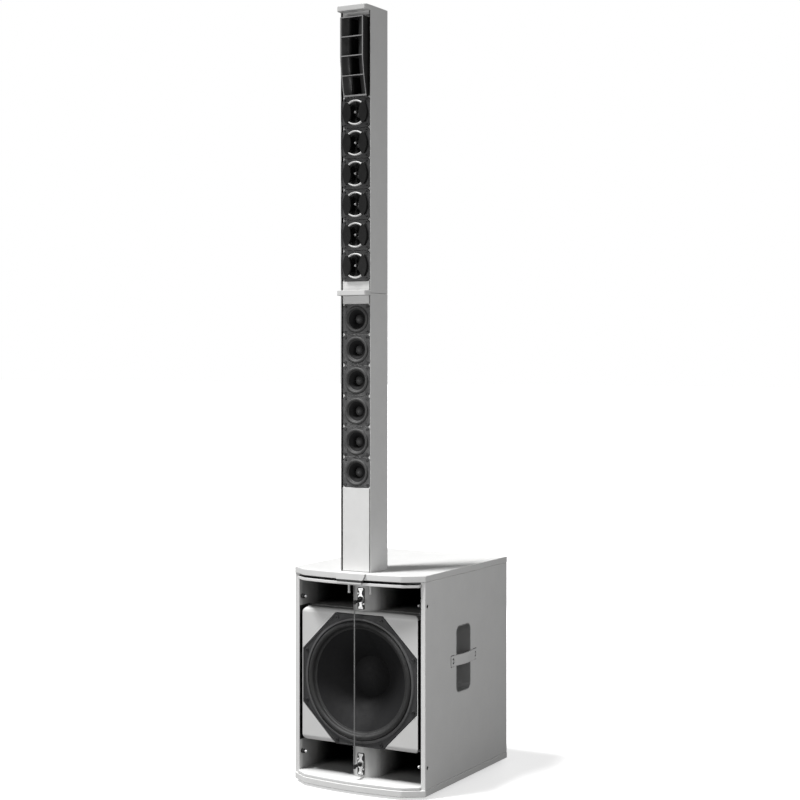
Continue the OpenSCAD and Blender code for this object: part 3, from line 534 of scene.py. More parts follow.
# Boxes of painted shade: the column's grooves and hollow, the lip's grille groove and the baffle's side slots
# are painted black, and the cabinet's inside is painted darker towards the back.
COLUMN_GROOVE_SHADE = ((INFILL_HALF - 0.7, COLUMN_HALF - RAIL_T + 0.5), (INFILL_Y + 0.4, WALL_Y + 8), EVERYWHERE)
COLUMN_INSIDE_SHADE = ((-1, COLUMN_HALF - 1.2), (WALL_Y + 1, COLUMN_REAR_Y - 1.5), (COLUMN_Z + 1, COLUMN_TOP_Z - 1))
LIP_GROOVE_SHADE = ((-1, INNER_X + 0.4), (LIP_Y - 10, FRONT_Y + 1), (CEILING_Z + STRIP_T - 0.1, PLATE_HIGH + 0.1))
BAFFLE_SLOT_SHADE = ((BAFFLE_HALF_W - 0.8, INNER_X + 0.4), (FRONT_Y + 1.5, FRONT_Y + 60),
                (BAFFLE_LOW - 2, BAFFLE_HIGH + 2))
CABINET_INSIDE_SHADE = ((-1, INNER_X + 0.4), (FRONT_Y + 0.5, REAR_PANEL_Y - 3), (PLATE_LOW - 1, PLATE_HIGH + 1))

MATERIALS = {
    # The cabinet paint, column paint and white moulding carry the painted shade of the boxes above.
    "cabinet_paint": painted("CabinetPaint", WHITE, 0.46, 0.0011, 0.00014, [LIP_GROOVE_SHADE, BAFFLE_SLOT_SHADE],
                             CABINET_INSIDE_SHADE),
    "column_paint": painted("ColumnPaint", WHITE, 0.4, 0.0008, 0.00006, [COLUMN_GROOVE_SHADE, COLUMN_INSIDE_SHADE]),
    "white_moulding": painted("WhiteMoulding", WHITE, 0.42, 0.0009, 0.00008, [COLUMN_GROOVE_SHADE]),
    # Painted shade: the white handle pockets are painted grey for the shade in their depth.
    "pocket_grey": painted("PocketPaintedShade", (0.26, 0.26, 0.26), 0.5, 0.0009, 0.0001, []),
    "driver_frame": plain("DriverFrame", (0.022, 0.022, 0.023), 0.5, blotch=0.2, grain=0.0014, depth=0.00025,
                          specular=0.35),
    "mid_frame": plain("MidFrame", (0.05, 0.05, 0.051), 0.45, blotch=0.2, grain=0.0008, depth=0.0001,
                       specular=0.4),
    "motor_steel": plain("MotorSteel", (0.12, 0.12, 0.13), 0.45, 0.6, grain=0.0015),
    "surround": woven("SurroundCloth", (0.014, 0.014, 0.014), 0.0011),
    # Painted highlight: a lighter grey for the woofer frame's ridge and the mid drivers' dust caps.
    "mid_dome": plain("MidDome", (0.06, 0.06, 0.061), 0.5, blotch=0.2, grain=0.0007, depth=0.0001),
    "mid_surround": woven("MidSurroundCloth", (0.05, 0.05, 0.05), 0.0008),
    "spider": woven("SpiderCloth", (0.35, 0.22, 0.09), 0.0013),
    "cone": pressed_cone("ConePaper", (0.009, 0.009, 0.0095), WOOFER_Z),
    "coil": plain("CoilWire", (0.45, 0.2, 0.06), 0.35, 0.8, grain=0.0006, streak=(1, 8, 1)),
    "bright_steel": plain("BrightSteel", (0.8, 0.8, 0.8), 0.35, 0.7, blotch=0.1, grain=0.0006,
                          depth=0.00003),
    "rod_steel": plain("RodSteel", (0.2, 0.2, 0.2), 0.4, 0.5, blotch=0.1, grain=0.0006, depth=0.00002,
                       streak=(1, 1, 0.05)),
    "black_steel": plain("BlackSteel", (0.03, 0.03, 0.031), 0.35, 0.5, blotch=0.2, grain=0.0008,
                         depth=0.00005),
    "black_plastic": plain("BlackPlastic", (0.016, 0.016, 0.016), 0.45, blotch=0.2, grain=0.0009,
                           depth=0.00012, specular=0.35),
    "deep_black": plain("DeepBlack", (0.005, 0.005, 0.005), 0.5, blotch=0.2, grain=0.0009, depth=0.0001,
                        specular=0.25),
    # The horn's lighter colour is a painted highlight on the mouth's front faces.
    "horn_plastic": moulded_horn("HornPlastic", (0.024, 0.024, 0.024), (0.26, 0.26, 0.26)),
    "rubber": plain("Rubber", (0.02, 0.02, 0.02), 0.75, blotch=0.3, grain=0.0012, depth=0.0002),
    "amp_metal": plain("AmpMetal", (0.03, 0.03, 0.031), 0.45, blotch=0.2, grain=0.0007, depth=0.0001),
    "circuit_board": board("CircuitBoard"),
    "rocker_red": plain("RockerRed", (0.45, 0.02, 0.015), 0.35, blotch=0.1, grain=0.0012, depth=0.00005),
}

for subpart in frame["record"]["subparts"]:
    for material_slot in frame["nodes"][subpart["node"]].material_slots:
        material_slot.material = MATERIALS[subpart["material_slot"]]


# ---------- Cabinet shell ----------

def lip_plan(setback, back_y, half_w=HALF_W):
    """Straight facets at the corners and one long curve between them."""
    corner_x = HALF_W - 55
    rise = 15
    radius = (corner_x ** 2 + rise ** 2) / (2 * rise)
    sweep = degrees(asin(corner_x / radius))
    curve = arc(0, LIP_Y + radius, radius - setback, 270 - sweep, 270 + sweep, 32)
    slope = (LIP_Y + rise - FRONT_Y) / (HALF_W - corner_x)
    side_y = FRONT_Y + setback - slope * (half_w - HALF_W)
    return [(-half_w, back_y), (-half_w, side_y)] + curve + [(half_w, side_y), (half_w, back_y)]


def catch_outline(gap):
    return [(-54 - gap, TOP_Z + 3), (54 + gap, TOP_Z + 3), (54 + gap, TOP_Z - 1),
            (40 + gap, CEILING_Z + 4 - gap), (-40 - gap, CEILING_Z + 4 - gap), (-54 - gap, TOP_Z - 1)]


def catch_notch():
    return plate([catch_outline(1.2)], LIP_Y - 10, LIP_Y + 7, 0, "y", 0)


def socket_outline():
    low, high = node_box("column_socket")
    return rounded(low.x, high.x, low.y, high.y, 3)


def cabinet_shell():
    pocket = rounded(pocket_low.y, pocket_high.y, pocket_low.z, pocket_high.z, 20, 8)
    stud_low, stud_high = node_box("grille_studs")
    studs_y = node_middle("grille_studs")[1]
    stud_holes = [circle(studs_y, z, 5.5, 24) for z in (stud_low.z + 7, stud_high.z - 7)]
    outline = rect(FRONT_Y, REAR_Y, PLATE_LOW, PLATE_HIGH)
    side = plate([outline, pocket] + stud_holes, INNER_X, HALF_W, 2.5, "x", 3)
    stand_in("side_panel_left", [mirrored(side)], "cabinet_paint")
    stand_in("side_panel_right", [side], "cabinet_paint")

    top = plate([lip_plan(0, REAR_Y), socket_outline()], PLATE_HIGH, TOP_Z, 2, "z", 3)
    stand_in("top_panel", [carved(top, [catch_notch()])], "cabinet_paint")
    stand_in("bottom_panel", [plate([lip_plan(0, REAR_Y)], BASE_Z, PLATE_LOW, 2, "z", 3)], "cabinet_paint")

    strip = lip_plan(1.5, SHELF_END_Y, INNER_X)
    upper = plate([strip, socket_outline()], CEILING_Z, CEILING_Z + STRIP_T, 1.5, "z")
    packing = plate([rect(-INNER_X, INNER_X, FRONT_Y, SHELF_END_Y), socket_outline()],
                    CEILING_Z + STRIP_T - 1, PLATE_HIGH, 0.5, "z")
    stand_in("port_ceiling", [carved(upper, [catch_notch()]), packing], "cabinet_paint")
    stand_in("port_floor", [plate([strip], PLATE_LOW, FLOOR_Z, 1.5, "z")], "cabinet_paint")
    catch = [(x, min(z, TOP_Z + 0.2)) for x, z in catch_outline(0)]
    stand_in("grille_catch", [plate([catch], LIP_Y - 4, LIP_Y + 7, 1, "y")], "cabinet_paint")

    rear = plate([rect(-INNER_X, INNER_X, PLATE_LOW, PLATE_HIGH),
                  rect(amp_low.x + 15, amp_high.x - 15, amp_low.z + 15, amp_high.z - 15)],
                 REAR_PANEL_Y - 18, REAR_PANEL_Y, 1, "y")
    stand_in("rear_panel", [rear], "cabinet_paint")


def baffle():
    depth = 41
    edge_r = 16
    outline = rounded(-BAFFLE_HALF_W, BAFFLE_HALF_W, BAFFLE_LOW, BAFFLE_HIGH, 18, 8)
    body = plate([outline], BAFFLE_Y, BAFFLE_Y + depth, 0, "y", 0)
    cutters = [plate([octagon(WOOFER_FLATS + 4)], BAFFLE_Y - 5, BAFFLE_Y + depth + 5, 0, "y", 0)]
    for edge_z, side in ((BAFFLE_HIGH, 1), (BAFFLE_LOW, -1)):
        centre_z = edge_z - side * edge_r
        round_edge = [(BAFFLE_Y + edge_r - edge_r * cos(radians(9 * i)),
                       centre_z + side * edge_r * sin(radians(9 * i))) for i in range(11)]
        waste = round_edge + [(BAFFLE_Y + edge_r, edge_z + side), (BAFFLE_Y - 1, edge_z + side),
                              (BAFFLE_Y - 1, centre_z)]
        cutters.append(plate([waste], -INNER_X, INNER_X, 0, "x", 0))
    shaped = carved(body, cutters, edge=1.2)
    flange = plate([rect(-INNER_X, INNER_X, BAFFLE_LOW + 1, BAFFLE_HIGH - 1), circle(0, WOOFER_Z, 178, 72)],
                   BAFFLE_Y + 30, BAFFLE_Y + depth + 12, 0.5, "y", 0)
    stand_in("woofer_baffle", [shaped], "cabinet_paint")
    piece("BaffleFlange", [flange], "cabinet_paint")


def port_dividers():
    low, high = node_box("port_divider_upper")
    nose_r = high.x
    outline = (arc(0, low.y - 1 + nose_r, nose_r, 190, 350, 40)
               + [(nose_r, high.y), (-nose_r, high.y)])
    for end in ("upper", "lower"):
        node = "port_divider_" + end
        low, high = node_box(node)
        stand_in(node, [plate([outline], low.z, high.z, 0.5, "z")], "cabinet_paint")


def feet():
    low, high = node_box("rubber_feet")
    profile = [(5, 3), (5, 0.6), (5.6, 0), (15.5, 0), (17, 1.2), (17.4, high.z - 2), (19, high.z - 1.5),
               (19, high.z), (0, high.z)]
    washer = [(0, 3.4), (2, 3.4), (2.2, 2.8), (5, 2.8), (5, 3)]
    rubber, washers = [], []
    for x in (low.x + 19, high.x - 19):
        for y in (low.y + 19, high.y - 19):
            rubber.append(lathe(profile, x, y, 0, "z", 40))
            washers.append(lathe(washer, x, y, 0, "z", 24))
    stand_in("rubber_feet", rubber, "rubber")
    piece("FootWashers", washers, "bright_steel")


# ---------- Bass driver ----------

FLANGE_T = 12
SURROUND_HOLE_R = 177
BOLT_CIRCLE_R = 198


def bass_driver():
    y = WOOFER_Y
    flange = plate([octagon(WOOFER_FLATS), circle(0, WOOFER_Z, SURROUND_HOLE_R, 96)], y, y + FLANGE_T, 1.5,
                   "y")
    rim = plate([octagon(WOOFER_FLATS), octagon(WOOFER_FLATS - 8)], y - 1.4, y + 1, 0.7, "y")
    ridge = lathe([(186.4, 0.6), (186, -1.4), (184.4, -3), (180, -3.4), (178.4, -2.4), (177.6, 0.4)], 0, y,
                  WOOFER_Z, steps=96)
    deep = BASKET_BACK - y
    basket = lathe([(182, FLANGE_T), (182, 18), (108, deep), (108, deep + 6), (54, deep + 6), (54, deep),
                    (98, deep), (174, 16), (172, FLANGE_T)], 0, y, WOOFER_Z, closed=True)
    stand_in("woofer_frame", [flange, rim, basket], "driver_frame")
    # The ridge takes the lighter grey as a painted highlight.
    piece("WooferRidge", [ridge], "driver_frame", finish="mid_dome")

    heads = []
    for x, z in arc(0, WOOFER_Z, BOLT_CIRCLE_R, 22.5, 337.5, 7):
        heads += screw_head(x, z, y, y - 5, 4.6, "y", hexagon)
        heads.append(lathe([(0, 0), (7, 0), (7.4, -0.6), (7, -1.2), (0, -1.2)], x, y, z, steps=24))
    stand_in("woofer_bolts", heads, "black_steel")

    # The outer foot stays on the frame and the inner foot follows the cone, so they lie at two depths.
    roll = [(179, 0.2), (177.2, 0.4)] + arc(168, 0.4, 8.4, -4, -176, 20)
    roll += [(159.2, 2.2), (158, 4.2), (155.6, 5.6), (152, 6.6)]
    turned = lathe(thickened(roll, 0.2, 1), 0, y, WOOFER_Z, steps=120, closed=True)
    surround = stand_in("woofer_surround", [turned], "surround", None)
    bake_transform(surround)

    back_depth = node_box("woofer_cone")[1].y - y - 1
    curve = []
    for i in range(21):
        t = i / 20
        radius = (1 - t) ** 2 * 156.5 + 2 * t * (1 - t) * 98 + t ** 2 * 52
        depth = (1 - t) ** 2 * 5.6 + 2 * t * (1 - t) * 36 + t ** 2 * back_depth
        curve.append((radius, depth))
    turned = lathe(thickened(curve, 0.8, 1.3), 0, y, WOOFER_Z, steps=120, closed=True)
    stand_in("woofer_cone", [turned], "cone", "bass_cone")
    dome = arc(0, 167, 110, 270, 270 + 33, 16)
    skirt = [(61.5, 75.4), (62.3, 76.4), (61.4, 77.4)]
    stand_in("woofer_dust_cap", [lathe(dome + skirt, 0, y, WOOFER_Z, steps=96)], "cone", "bass_cone")

    spider_low = node_box("woofer_spider")[0]
    waves = [(97, 0), (92, 0)]
    for i in range(33):
        t = i / 32
        waves.append((91 - 33 * t, 2.2 * t + 2.2 * sin(t * 5 * 2 * pi) * (1 - abs(2 * t - 1) ** 4)))
    waves += [(57, 4), (51, 5)]
    turned = lathe(thickened(waves, 0, 1), 0, spider_low.y + 2, WOOFER_Z, steps=96, closed=True)
    spider = stand_in("woofer_spider", [turned], "spider", None)
    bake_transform(spider)


# ---------- Fittings on the front ----------

def rod_and_brackets():
    rod = [(0, rod_low.z), (ROD_R - 0.5, rod_low.z), (ROD_R, rod_low.z + 0.6), (ROD_R, rod_high.z - 0.6),
           (ROD_R - 0.5, rod_high.z), (0, rod_high.z)]
    stand_in("brace_rod", [lathe(rod, 0, ROD_Y, 0, "z", 24)], "rod_steel")

    bars, backs, screws, clamps = [], [], [], []
    for index, z in enumerate(CLAMP_ZS):
        half = [(8, 31), (8, 26), (4.6, 21), (4, 14), (9, 8)]
        right = half + [(x, -dz) for x, dz in reversed(half)]
        outline = both_ways([(x, z + dz) for x, dz in right])
        bars.append(plate([outline], NOSE_Y - 3.4, NOSE_Y - 1.4, 0.7, "y"))
        backs.append(plate([centred(0, z, 12, 33, 5)], NOSE_Y - 1.6, NOSE_Y + 0.6, 0.5, "y"))
        for x, dz in ((9, -15), (-9, 15)):
            screws += screw_head(x, z + dz, NOSE_Y - 1.4, NOSE_Y - 3.6, 2.6, "y")
        for dz in (-27, 27):
            screws += screw_head(0, z + dz, NOSE_Y - 3.3, NOSE_Y - 5, 2.6, "y")
        knob = [(0, -9.6), (5.2, -9.6), (6.4, -8.6), (6.6, -5), (5.6, -3.4), (0, -3.2)]
        clamps.append(lathe(knob, 0, NOSE_Y, z, steps=28))
        rib = [(0, -8.4), (0.9, -8), (0.9, -5), (0, -4.6)]
        clamps += [lathe(rib, rib_x, NOSE_Y, rib_z, steps=8) for rib_x, rib_z in arc(0, z, 6.4, 0, 330, 11)]
        rod_z = z - 6 if index else z
        clamps.append(plate([rounded(ROD_Y, NOSE_Y - 7, rod_z - 4, rod_z + 4, 1.5)], -3, 3, 0.8, "x"))
        sleeve = [(0, -6.2), (3.9, -6.2), (4.6, -5.4), (4.6, 5.4), (3.9, 6.2), (0, 6.2)]
        clamps.append(lathe(sleeve, 0, ROD_Y, rod_z, "z", 28))
    stand_in("rod_brackets", bars, "bright_steel")
    piece("RodBracketBacks", backs, "black_plastic")
    piece("RodBracketScrews", screws, "bright_steel")
    stand_in("rod_clamps", clamps, "black_plastic")


def grille_fittings():
    low, high = node_box("grille_studs")
    y = node_middle("grille_studs")[1]
    bushings, tips = [], []
    bushing = [(0, -9), (5.4, -9), (6.8, -8), (7, 0), (3, 0), (3, 12), (5.2, 12), (5.2, 14), (4, 14.4),
               (1.6, 13), (0, 13)]
    tip = [(0, -17.4), (2.6, -16.8), (4, -15), (4.2, -13), (3.4, -11.2), (2.2, -10.4), (2.2, -8.8), (0, -8.8)]
    for z in (low.z + 7, high.z - 7):
        bushings.append(lathe(bushing, INNER_X, y, z, "x", 32))
        tips.append(lathe(tip, INNER_X, y, z, "x", 24))
    piece("GrilleBushings", both_sides(bushings), "black_plastic", "cabinet", ["grille_studs"])
    piece("GrilleStudTips", both_sides(tips), "bright_steel")

    peg_low, peg_high = node_box("grille_pegs")
    shank = [(3.2, peg_high.z + 1), (3.2, peg_low.z + 7), (4, peg_low.z + 5.6), (4, peg_low.z + 1.6),
             (3.2, peg_low.z + 0.4), (0, peg_low.z)]
    peg_y = node_middle("grille_pegs")[1]
    stand_in("grille_pegs", [lathe(shank, x, peg_y, 0, "z", 28) for x in (peg_low.x + 4, peg_high.x - 4)],
             "white_moulding")


# ---------- Handles ----------

def handles():
    def pocket_outline(inset):
        return rounded(pocket_low.y + inset, pocket_high.y - inset, pocket_low.z + inset,
                       pocket_high.z - inset, 20 - inset, 8)

    walls = plate([pocket_outline(0), pocket_outline(2.5)], pocket_low.x, HALF_W - 0.4, 0.8, "x")
    floor = plate([pocket_outline(0.2)], pocket_low.x, pocket_low.x + 3, 0.5, "x")
    fillet = plate([pocket_outline(2.4), pocket_outline(6)], pocket_low.x + 2, pocket_low.x + 6, 1.4, "x")
    ears = [plate([centred(HANDLE_Y + side * 73, HANDLE_Z, 11, 17.5, 2)], HALF_W - 1, HALF_W + 1, 0.3, "x", 1)
            for side in (-1, 1)]
    right = [walls, floor, fillet]
    left = [mirrored(mesh) for mesh in right]
    for side, meshes in (("left", left), ("right", right)):
        # The white moulding pockets take a grey finish as painted shade.
        stand_in("handle_pocket_" + side, meshes, "white_moulding", finish="pocket_grey")
    piece("HandleBarSeats", both_sides(ears), "black_plastic", finish="deep_black")

    half_len = (bar_high.y - bar_low.y) / 2
    gap_half = (pocket_high.y - pocket_low.y) / 2 - 3
    steps = 24
    outer, inner = [], []
    for i in range(steps + 1):
        t = 2 * i / steps - 1
        arch = 0.5 + 0.5 * cos(pi * t)
        outer.append((HALF_W + 3 + 8 * arch, HANDLE_Y + t * half_len))
        inner.append((HALF_W + 3 * arch, HANDLE_Y + t * gap_half))
    outline = outer + [(HALF_W, HANDLE_Y + half_len)] + inner[::-1] + [(HALF_W, HANDLE_Y - half_len)]
    band = plate([outline], bar_low.z, bar_high.z, 1.4, "z")
    screw_ys = (HANDLE_Y - 72, HANDLE_Y + 72)
    bores = [plate([centred(y, HANDLE_Z, 4.8, 9, 4)], HALF_W - 1, HALF_W + 12, 0, "x", 0) for y in screw_ys]
    bar = carved(band, bores)
    stand_in("handle_bar_left", [mirrored(bar)], "white_moulding")
    stand_in("handle_bar_right", [bar], "white_moulding")

    heads = []
    for y in screw_ys:
        heads += screw_head(y, HANDLE_Z, HALF_W + 0.8, HALF_W + 2.6, 4.1, "x")
    heads = both_sides(heads)
    for x in (amp_low.x + 8, 0, amp_high.x - 8):
        for z in (amp_low.z + 8, amp_high.z - 8):
            heads += screw_head(x, z, AMP_FACE_Y, AMP_FACE_Y + 2, 3.6, "y")
    stand_in("cabinet_screws", heads, "bright_steel")


# ---------- Rear amplifier ----------

def amplifier():
    y = AMP_FACE_Y
    socket_low, socket_high = node_box("input_sockets")
    socket_x, _, socket_z = node_middle("input_sockets")
    socket_xs = [socket_low.x + 13, socket_x, socket_high.x - 13]
    inlet_x, _, inlet_z = node_middle("mains_inlet")
    knobs = {node: node_middle(node)[::2] for node in ("bass_level_knob", "column_level_knob")}
    rocker_low, rocker_high = node_box("power_rocker")
    rocker_z = node_middle("power_rocker")[2]

    holes = [circle(x, socket_z, 12, 32) for x in socket_xs]
    holes.append(circle(inlet_x, inlet_z, 14, 32))
    holes += [circle(x, z, 3.2, 20) for x, z in knobs.values()]
    holes.append(rounded(rocker_low.x - 0.6, rocker_high.x + 0.6, rocker_z - 11.6, rocker_z + 11.6, 1.5))
    outline = rounded(amp_low.x, amp_high.x, amp_low.z, amp_high.z, 6)
    face = plate([outline] + holes, REAR_PANEL_Y, y, 0.7, "y")
    fins = []
    for i in range(13):
        x = 54 + 8 * i
        fin = rounded(y - 2, REAR_Y - 4, amp_low.z + 20, amp_high.z - 20, 2)
        fins.append(plate([fin], x, x + 3, 0.6, "x"))
    piece("AmplifierPanel", [face] + fins, "amp_metal", "cabinet", ["amp_panel"])

    shells, contacts = [], []
    for x in socket_xs:
        outline = centred(x, socket_z, 13, 15, 3)
        shells.append(plate([outline, circle(x, socket_z, 9.6, 32)], y, y + 2, 0.6, "y"))
        cup = [(9.6, 1.4), (9.6, -12), (0, -12), (0, -17), (12, -17), (12, 1)]
        shells.append(lathe(cup, x, y, socket_z, steps=40))
        shells.append(plate([rounded(x - 4, x + 4, socket_z + 10.4, socket_z + 14, 1)],
                            y + 1, y + 3.2, 0.5, "y"))
        pin = [(1.3, -12.2), (1.3, -11), (0.8, -10.8), (0.8, -14), (0, -14)]
        contacts += [lathe(pin, pin_x, y, pin_z, steps=12)
                     for pin_x, pin_z in arc(x, socket_z, 5, 90, 330, 2)]
        for dx in (-10, 10):
            contacts += screw_head(x + dx, socket_z - dx * 1.2, y + 1.9, y + 2.6, 1.8, "y")
    stand_in("input_sockets", shells, "black_plastic")

    outline = centred(inlet_x, inlet_z, 17, 17, 3)
    inlet = [plate([outline, circle(inlet_x, inlet_z, 11.5, 40)], y, y + 2, 0.6, "y"),
             lathe([(11.5, 1.4), (11.5, -14), (0, -14), (0, -20), (14, -20), (14, 1)], inlet_x, y,
                   inlet_z, steps=40),
             lathe([(0, -5), (6.4, -5), (7, -5.6), (7, -14.2)], inlet_x, y, inlet_z, steps=32)]
    stand_in("mains_inlet", inlet, "black_plastic")
    for dx in (-8, 0, 8):
        contacts.append(plate([rect(inlet_x + dx - 0.7, inlet_x + dx + 0.7, inlet_z - 2.5, inlet_z + 2.5)],
                              y - 14.5, y - 4.8, 0.2, "y", 1))
    for dx in (-13.5, 13.5):
        contacts += screw_head(inlet_x + dx, inlet_z + dx, y + 1.9, y + 2.6, 2, "y")
    piece("SocketContacts", contacts, "bright_steel")

    ticks = []
    for (node, (x, z)), body in zip(knobs.items(), ("bass_knob", "column_knob")):
        high_y = node_box(node)[1].y
        profile = [(0, high_y), (6.6, high_y), (7.2, high_y - 0.8), (7.6, y + 5), (8.5, y + 3.4),
                   (8.5, y + 0.6), (3, y + 0.6), (3, REAR_PANEL_Y - 8), (0, REAR_PANEL_Y - 8)]
        knob = [lathe(profile, x, 0, z, steps=40)]
        rib = [(0, high_y - 0.6), (0.7, high_y - 1), (0.8, y + 4.4), (0, y + 4)]
        knob += [lathe(rib, rib_x, 0, rib_z, steps=8) for rib_x, rib_z in arc(x, z, 7.3, 0, 337.5, 15)]
        dial = stand_in(node, knob, "black_plastic", body)
        pointer = rounded(x - 0.5, x + 0.5, z + 2, z + 6.4, 0.4, 2)
        piece(dial.name + "Pointer", [plate([pointer], high_y - 0.4, high_y + 0.25, 0.1, "y", 1)],
              "white_moulding", body)
        for i in range(11):
            ca, sa = cos(radians(240 - 30 * i)), sin(radians(240 - 30 * i))
            tick = [(x + r * ca - w * sa, z + r * sa + w * ca)
                    for r, w in ((10.4, -0.3), (12.4, -0.3), (12.4, 0.3), (10.4, 0.3))]
            ticks.append(plate([tick], y - 0.3, y + 0.15, 0.02, "y", 0))
    piece("LevelScales", ticks, "white_moulding")

    radius = (rocker_high.z - rocker_low.z) / 2
    rocker_y = rocker_low.y + radius
    flat = 7.5
    dip = flat / cos(radians(14))
    reach = degrees(acos(flat / radius))
    drum = arc(rocker_y, rocker_z, radius, 14 + reach, 346 - reach, 36) + [(rocker_y + dip, rocker_z)]
    rocker = plate([drum], rocker_low.x, rocker_high.x, 0.7, "x")
    stand_in("power_rocker", [rocker], "rocker_red", "rocker")
    bezel = plate([rounded(rocker_low.x - 3.4, rocker_high.x + 3.4, rocker_z - 14.6, rocker_z + 14.6, 2),
                   rounded(rocker_low.x - 0.5, rocker_high.x + 0.5, rocker_z - 11.5, rocker_z + 11.5, 1)],
                  y - 0.4, y + 1.6, 0.5, "y")
    piece("RockerBezel", [bezel], "black_plastic")


# ---------- Column ----------

def tube_plan():
    """Square section with rounded rear corners and two rails that stand in front of the wall."""
    h, r = COLUMN_HALF, 4
    front = COLUMN_Y
    back = COLUMN_REAR_Y
    inner = h - TUBE_T
    half_rail = RAIL_T / 2
    return (arc(-h + half_rail, front + half_rail, half_rail, 360, 180, 6)
            + arc(-h + r, back - r, r, 180, 90, 6) + arc(h - r, back - r, r, 90, 0, 6)
            + arc(h - half_rail, front + half_rail, half_rail, 360, 180, 6)
            + [(h - RAIL_T, WALL_Y + WALL_T), (inner, WALL_Y + WALL_T)]
            + [(inner, back - TUBE_T), (-inner, back - TUBE_T)]
            + [(-inner, WALL_Y + WALL_T), (-h + RAIL_T, WALL_Y + WALL_T)])


def driver_wall(low, high, zs):
    """The wall that the drivers screw to, with white lugs between the frames' cut corners."""
    wall = [rect(-INFILL_HALF, INFILL_HALF, low, high)] + [circle(0, z, 41.5, 48) for z in zs]
    parts = [plate(wall, WALL_Y, WALL_Y + WALL_T, 0.3, "y", 0)]
    for z in [zs[0] - MID_PITCH / 2] + [z + MID_PITCH / 2 for z in zs]:
        for side in (-1, 1):
            lug = [(side * 40.6, z), (side * 46.2, z - 7), (side * 46.2, z + 7)]
            parts.append(plate([lug], MID_Y, WALL_Y, 0.4, "y", 1))
    return parts


def band(low, high, edge=1.6):
    return plate([rect(-INFILL_HALF, INFILL_HALF, low, high)], INFILL_Y, WALL_Y, edge, "y")


def cap_lip(low, high):
    h = COLUMN_HALF
    outline = both_ways([(-h, COLUMN_Y), (-h, CAP_LIP_Y + 7), (-h + 6, CAP_LIP_Y)])
    return plate([outline], low, high, 1.2, "z")


def end_tongue(low, high, holes=()):
    """The plate that closes the tube's end and reaches forward between the rails."""
    inner = COLUMN_HALF - TUBE_T
    neck = COLUMN_HALF - RAIL_T - 0.4
    back = COLUMN_REAR_Y - TUBE_T - 0.2
    outline = [(-neck, COLUMN_Y - 1), (neck, COLUMN_Y - 1), (neck, WALL_Y + WALL_T - 1),
               (inner - 0.3, WALL_Y + WALL_T), (inner - 0.3, back), (-inner + 0.3, back),
               (-inner + 0.3, WALL_Y + WALL_T), (-neck, WALL_Y + WALL_T - 1)]
    return plate([outline, *holes], low, high, 0.6, "z")


def plug(node, rim_z):
    """The plug under a section, hollowed to pass the socket's contact block."""
    low = node_box(node)[0].z
    middle_y = node_middle("column_socket")[1]
    outline = centred(0, middle_y, 25, 19, 2)
    hollow = centred(0, middle_y, 13.5, 9.5, 1)
    return [plate([outline, hollow], low, low + 14, 0.8, "z"),
            plate([outline], low + 13, rim_z, 0.4, "z")]


def lower_section():
    zs = mid_zs("lower_frames")
    end_z = JOINT_Z - CAP_PLATE_T
    tube = [plate([tube_plan()], COLUMN_Z, JOINT_Z - 0.4, 0.5, "z", 1)]
    tube += driver_wall(COLUMN_Z + 1, end_z, zs)
    stand_in("lower_tube", tube, "column_paint", "lower_column")
    stand_in("lower_blank_panel", [band(COLUMN_Z + 1, BLANK_TOP_Z)], "column_paint", "lower_column")
    cap = [cap_lip(end_z, end_z + CAP_LIP_H), end_tongue(end_z, JOINT_Z, [socket_outline()]),
           band(zs[-1] + MID_HALF_H + 1, end_z)]
    cup_low = node_box("lower_cap")[0].z
    socket_low, socket_high = node_box("column_socket")
    inner = rounded(-25.5, 25.5, socket_low.y + 3, socket_high.y - 3, 2)
    cap.append(plate([socket_outline(), inner], cup_low, JOINT_Z, 0.5, "z"))
    cap.append(plate([socket_outline()], cup_low, cup_low + 3, 0.5, "z"))
    stand_in("lower_cap", cap, "white_moulding", "lower_column")
    mid_drivers("lower", zs)


def upper_section():
    zs = mid_zs("upper_frames")
    tube = [plate([tube_plan()], JOINT_Z + 0.4, COLUMN_TOP_Z, 0.5, "z", 1)]
    tube += driver_wall(JOINT_Z + CAP_PLATE_T, HORN_LOW, zs)
    stand_in("upper_tube", tube, "column_paint", "upper_column")
    lip_low = COLUMN_TOP_Z - CAP_LIP_H
    ledge = plate([rect(-38, INFILL_HALF, HORN_HIGH - 1, HORN_HIGH + 4)], INFILL_Y + 1.5, WALL_Y, 1, "y")
    cap = [cap_lip(lip_low, COLUMN_TOP_Z), end_tongue(lip_low, COLUMN_TOP_Z), band(HORN_HIGH + 5, lip_low),
           ledge]
    stand_in("upper_cap", cap, "white_moulding", "upper_column")
    foot = [end_tongue(JOINT_Z + 0.4, JOINT_Z + CAP_PLATE_T), band(JOINT_Z + 0.4, zs[0] - MID_HALF_H - 1)]
    piece("UpperFoot", foot + plug("upper_plug", JOINT_Z + 1), "white_moulding", "upper_column",
          ["upper_plug"])
    mid_drivers("upper", zs)
    dispersion_inserts(zs)
    horn()


# ---------- Mid drivers ----------

def cut_corner_outline(z, margin=0.0):
    w, h = MID_HALF_W - margin, MID_HALF_H - margin
    return both_ways([(w - 8, z - h), (w, z + (10 - h)), (w, z + (h - 10)), (w - 8, z + h)])


def mid_screw_places(zs):
    return [(x, z + dz) for z in zs for x in (-MID_SCREW, MID_SCREW) for dz in (-MID_SCREW, MID_SCREW)]


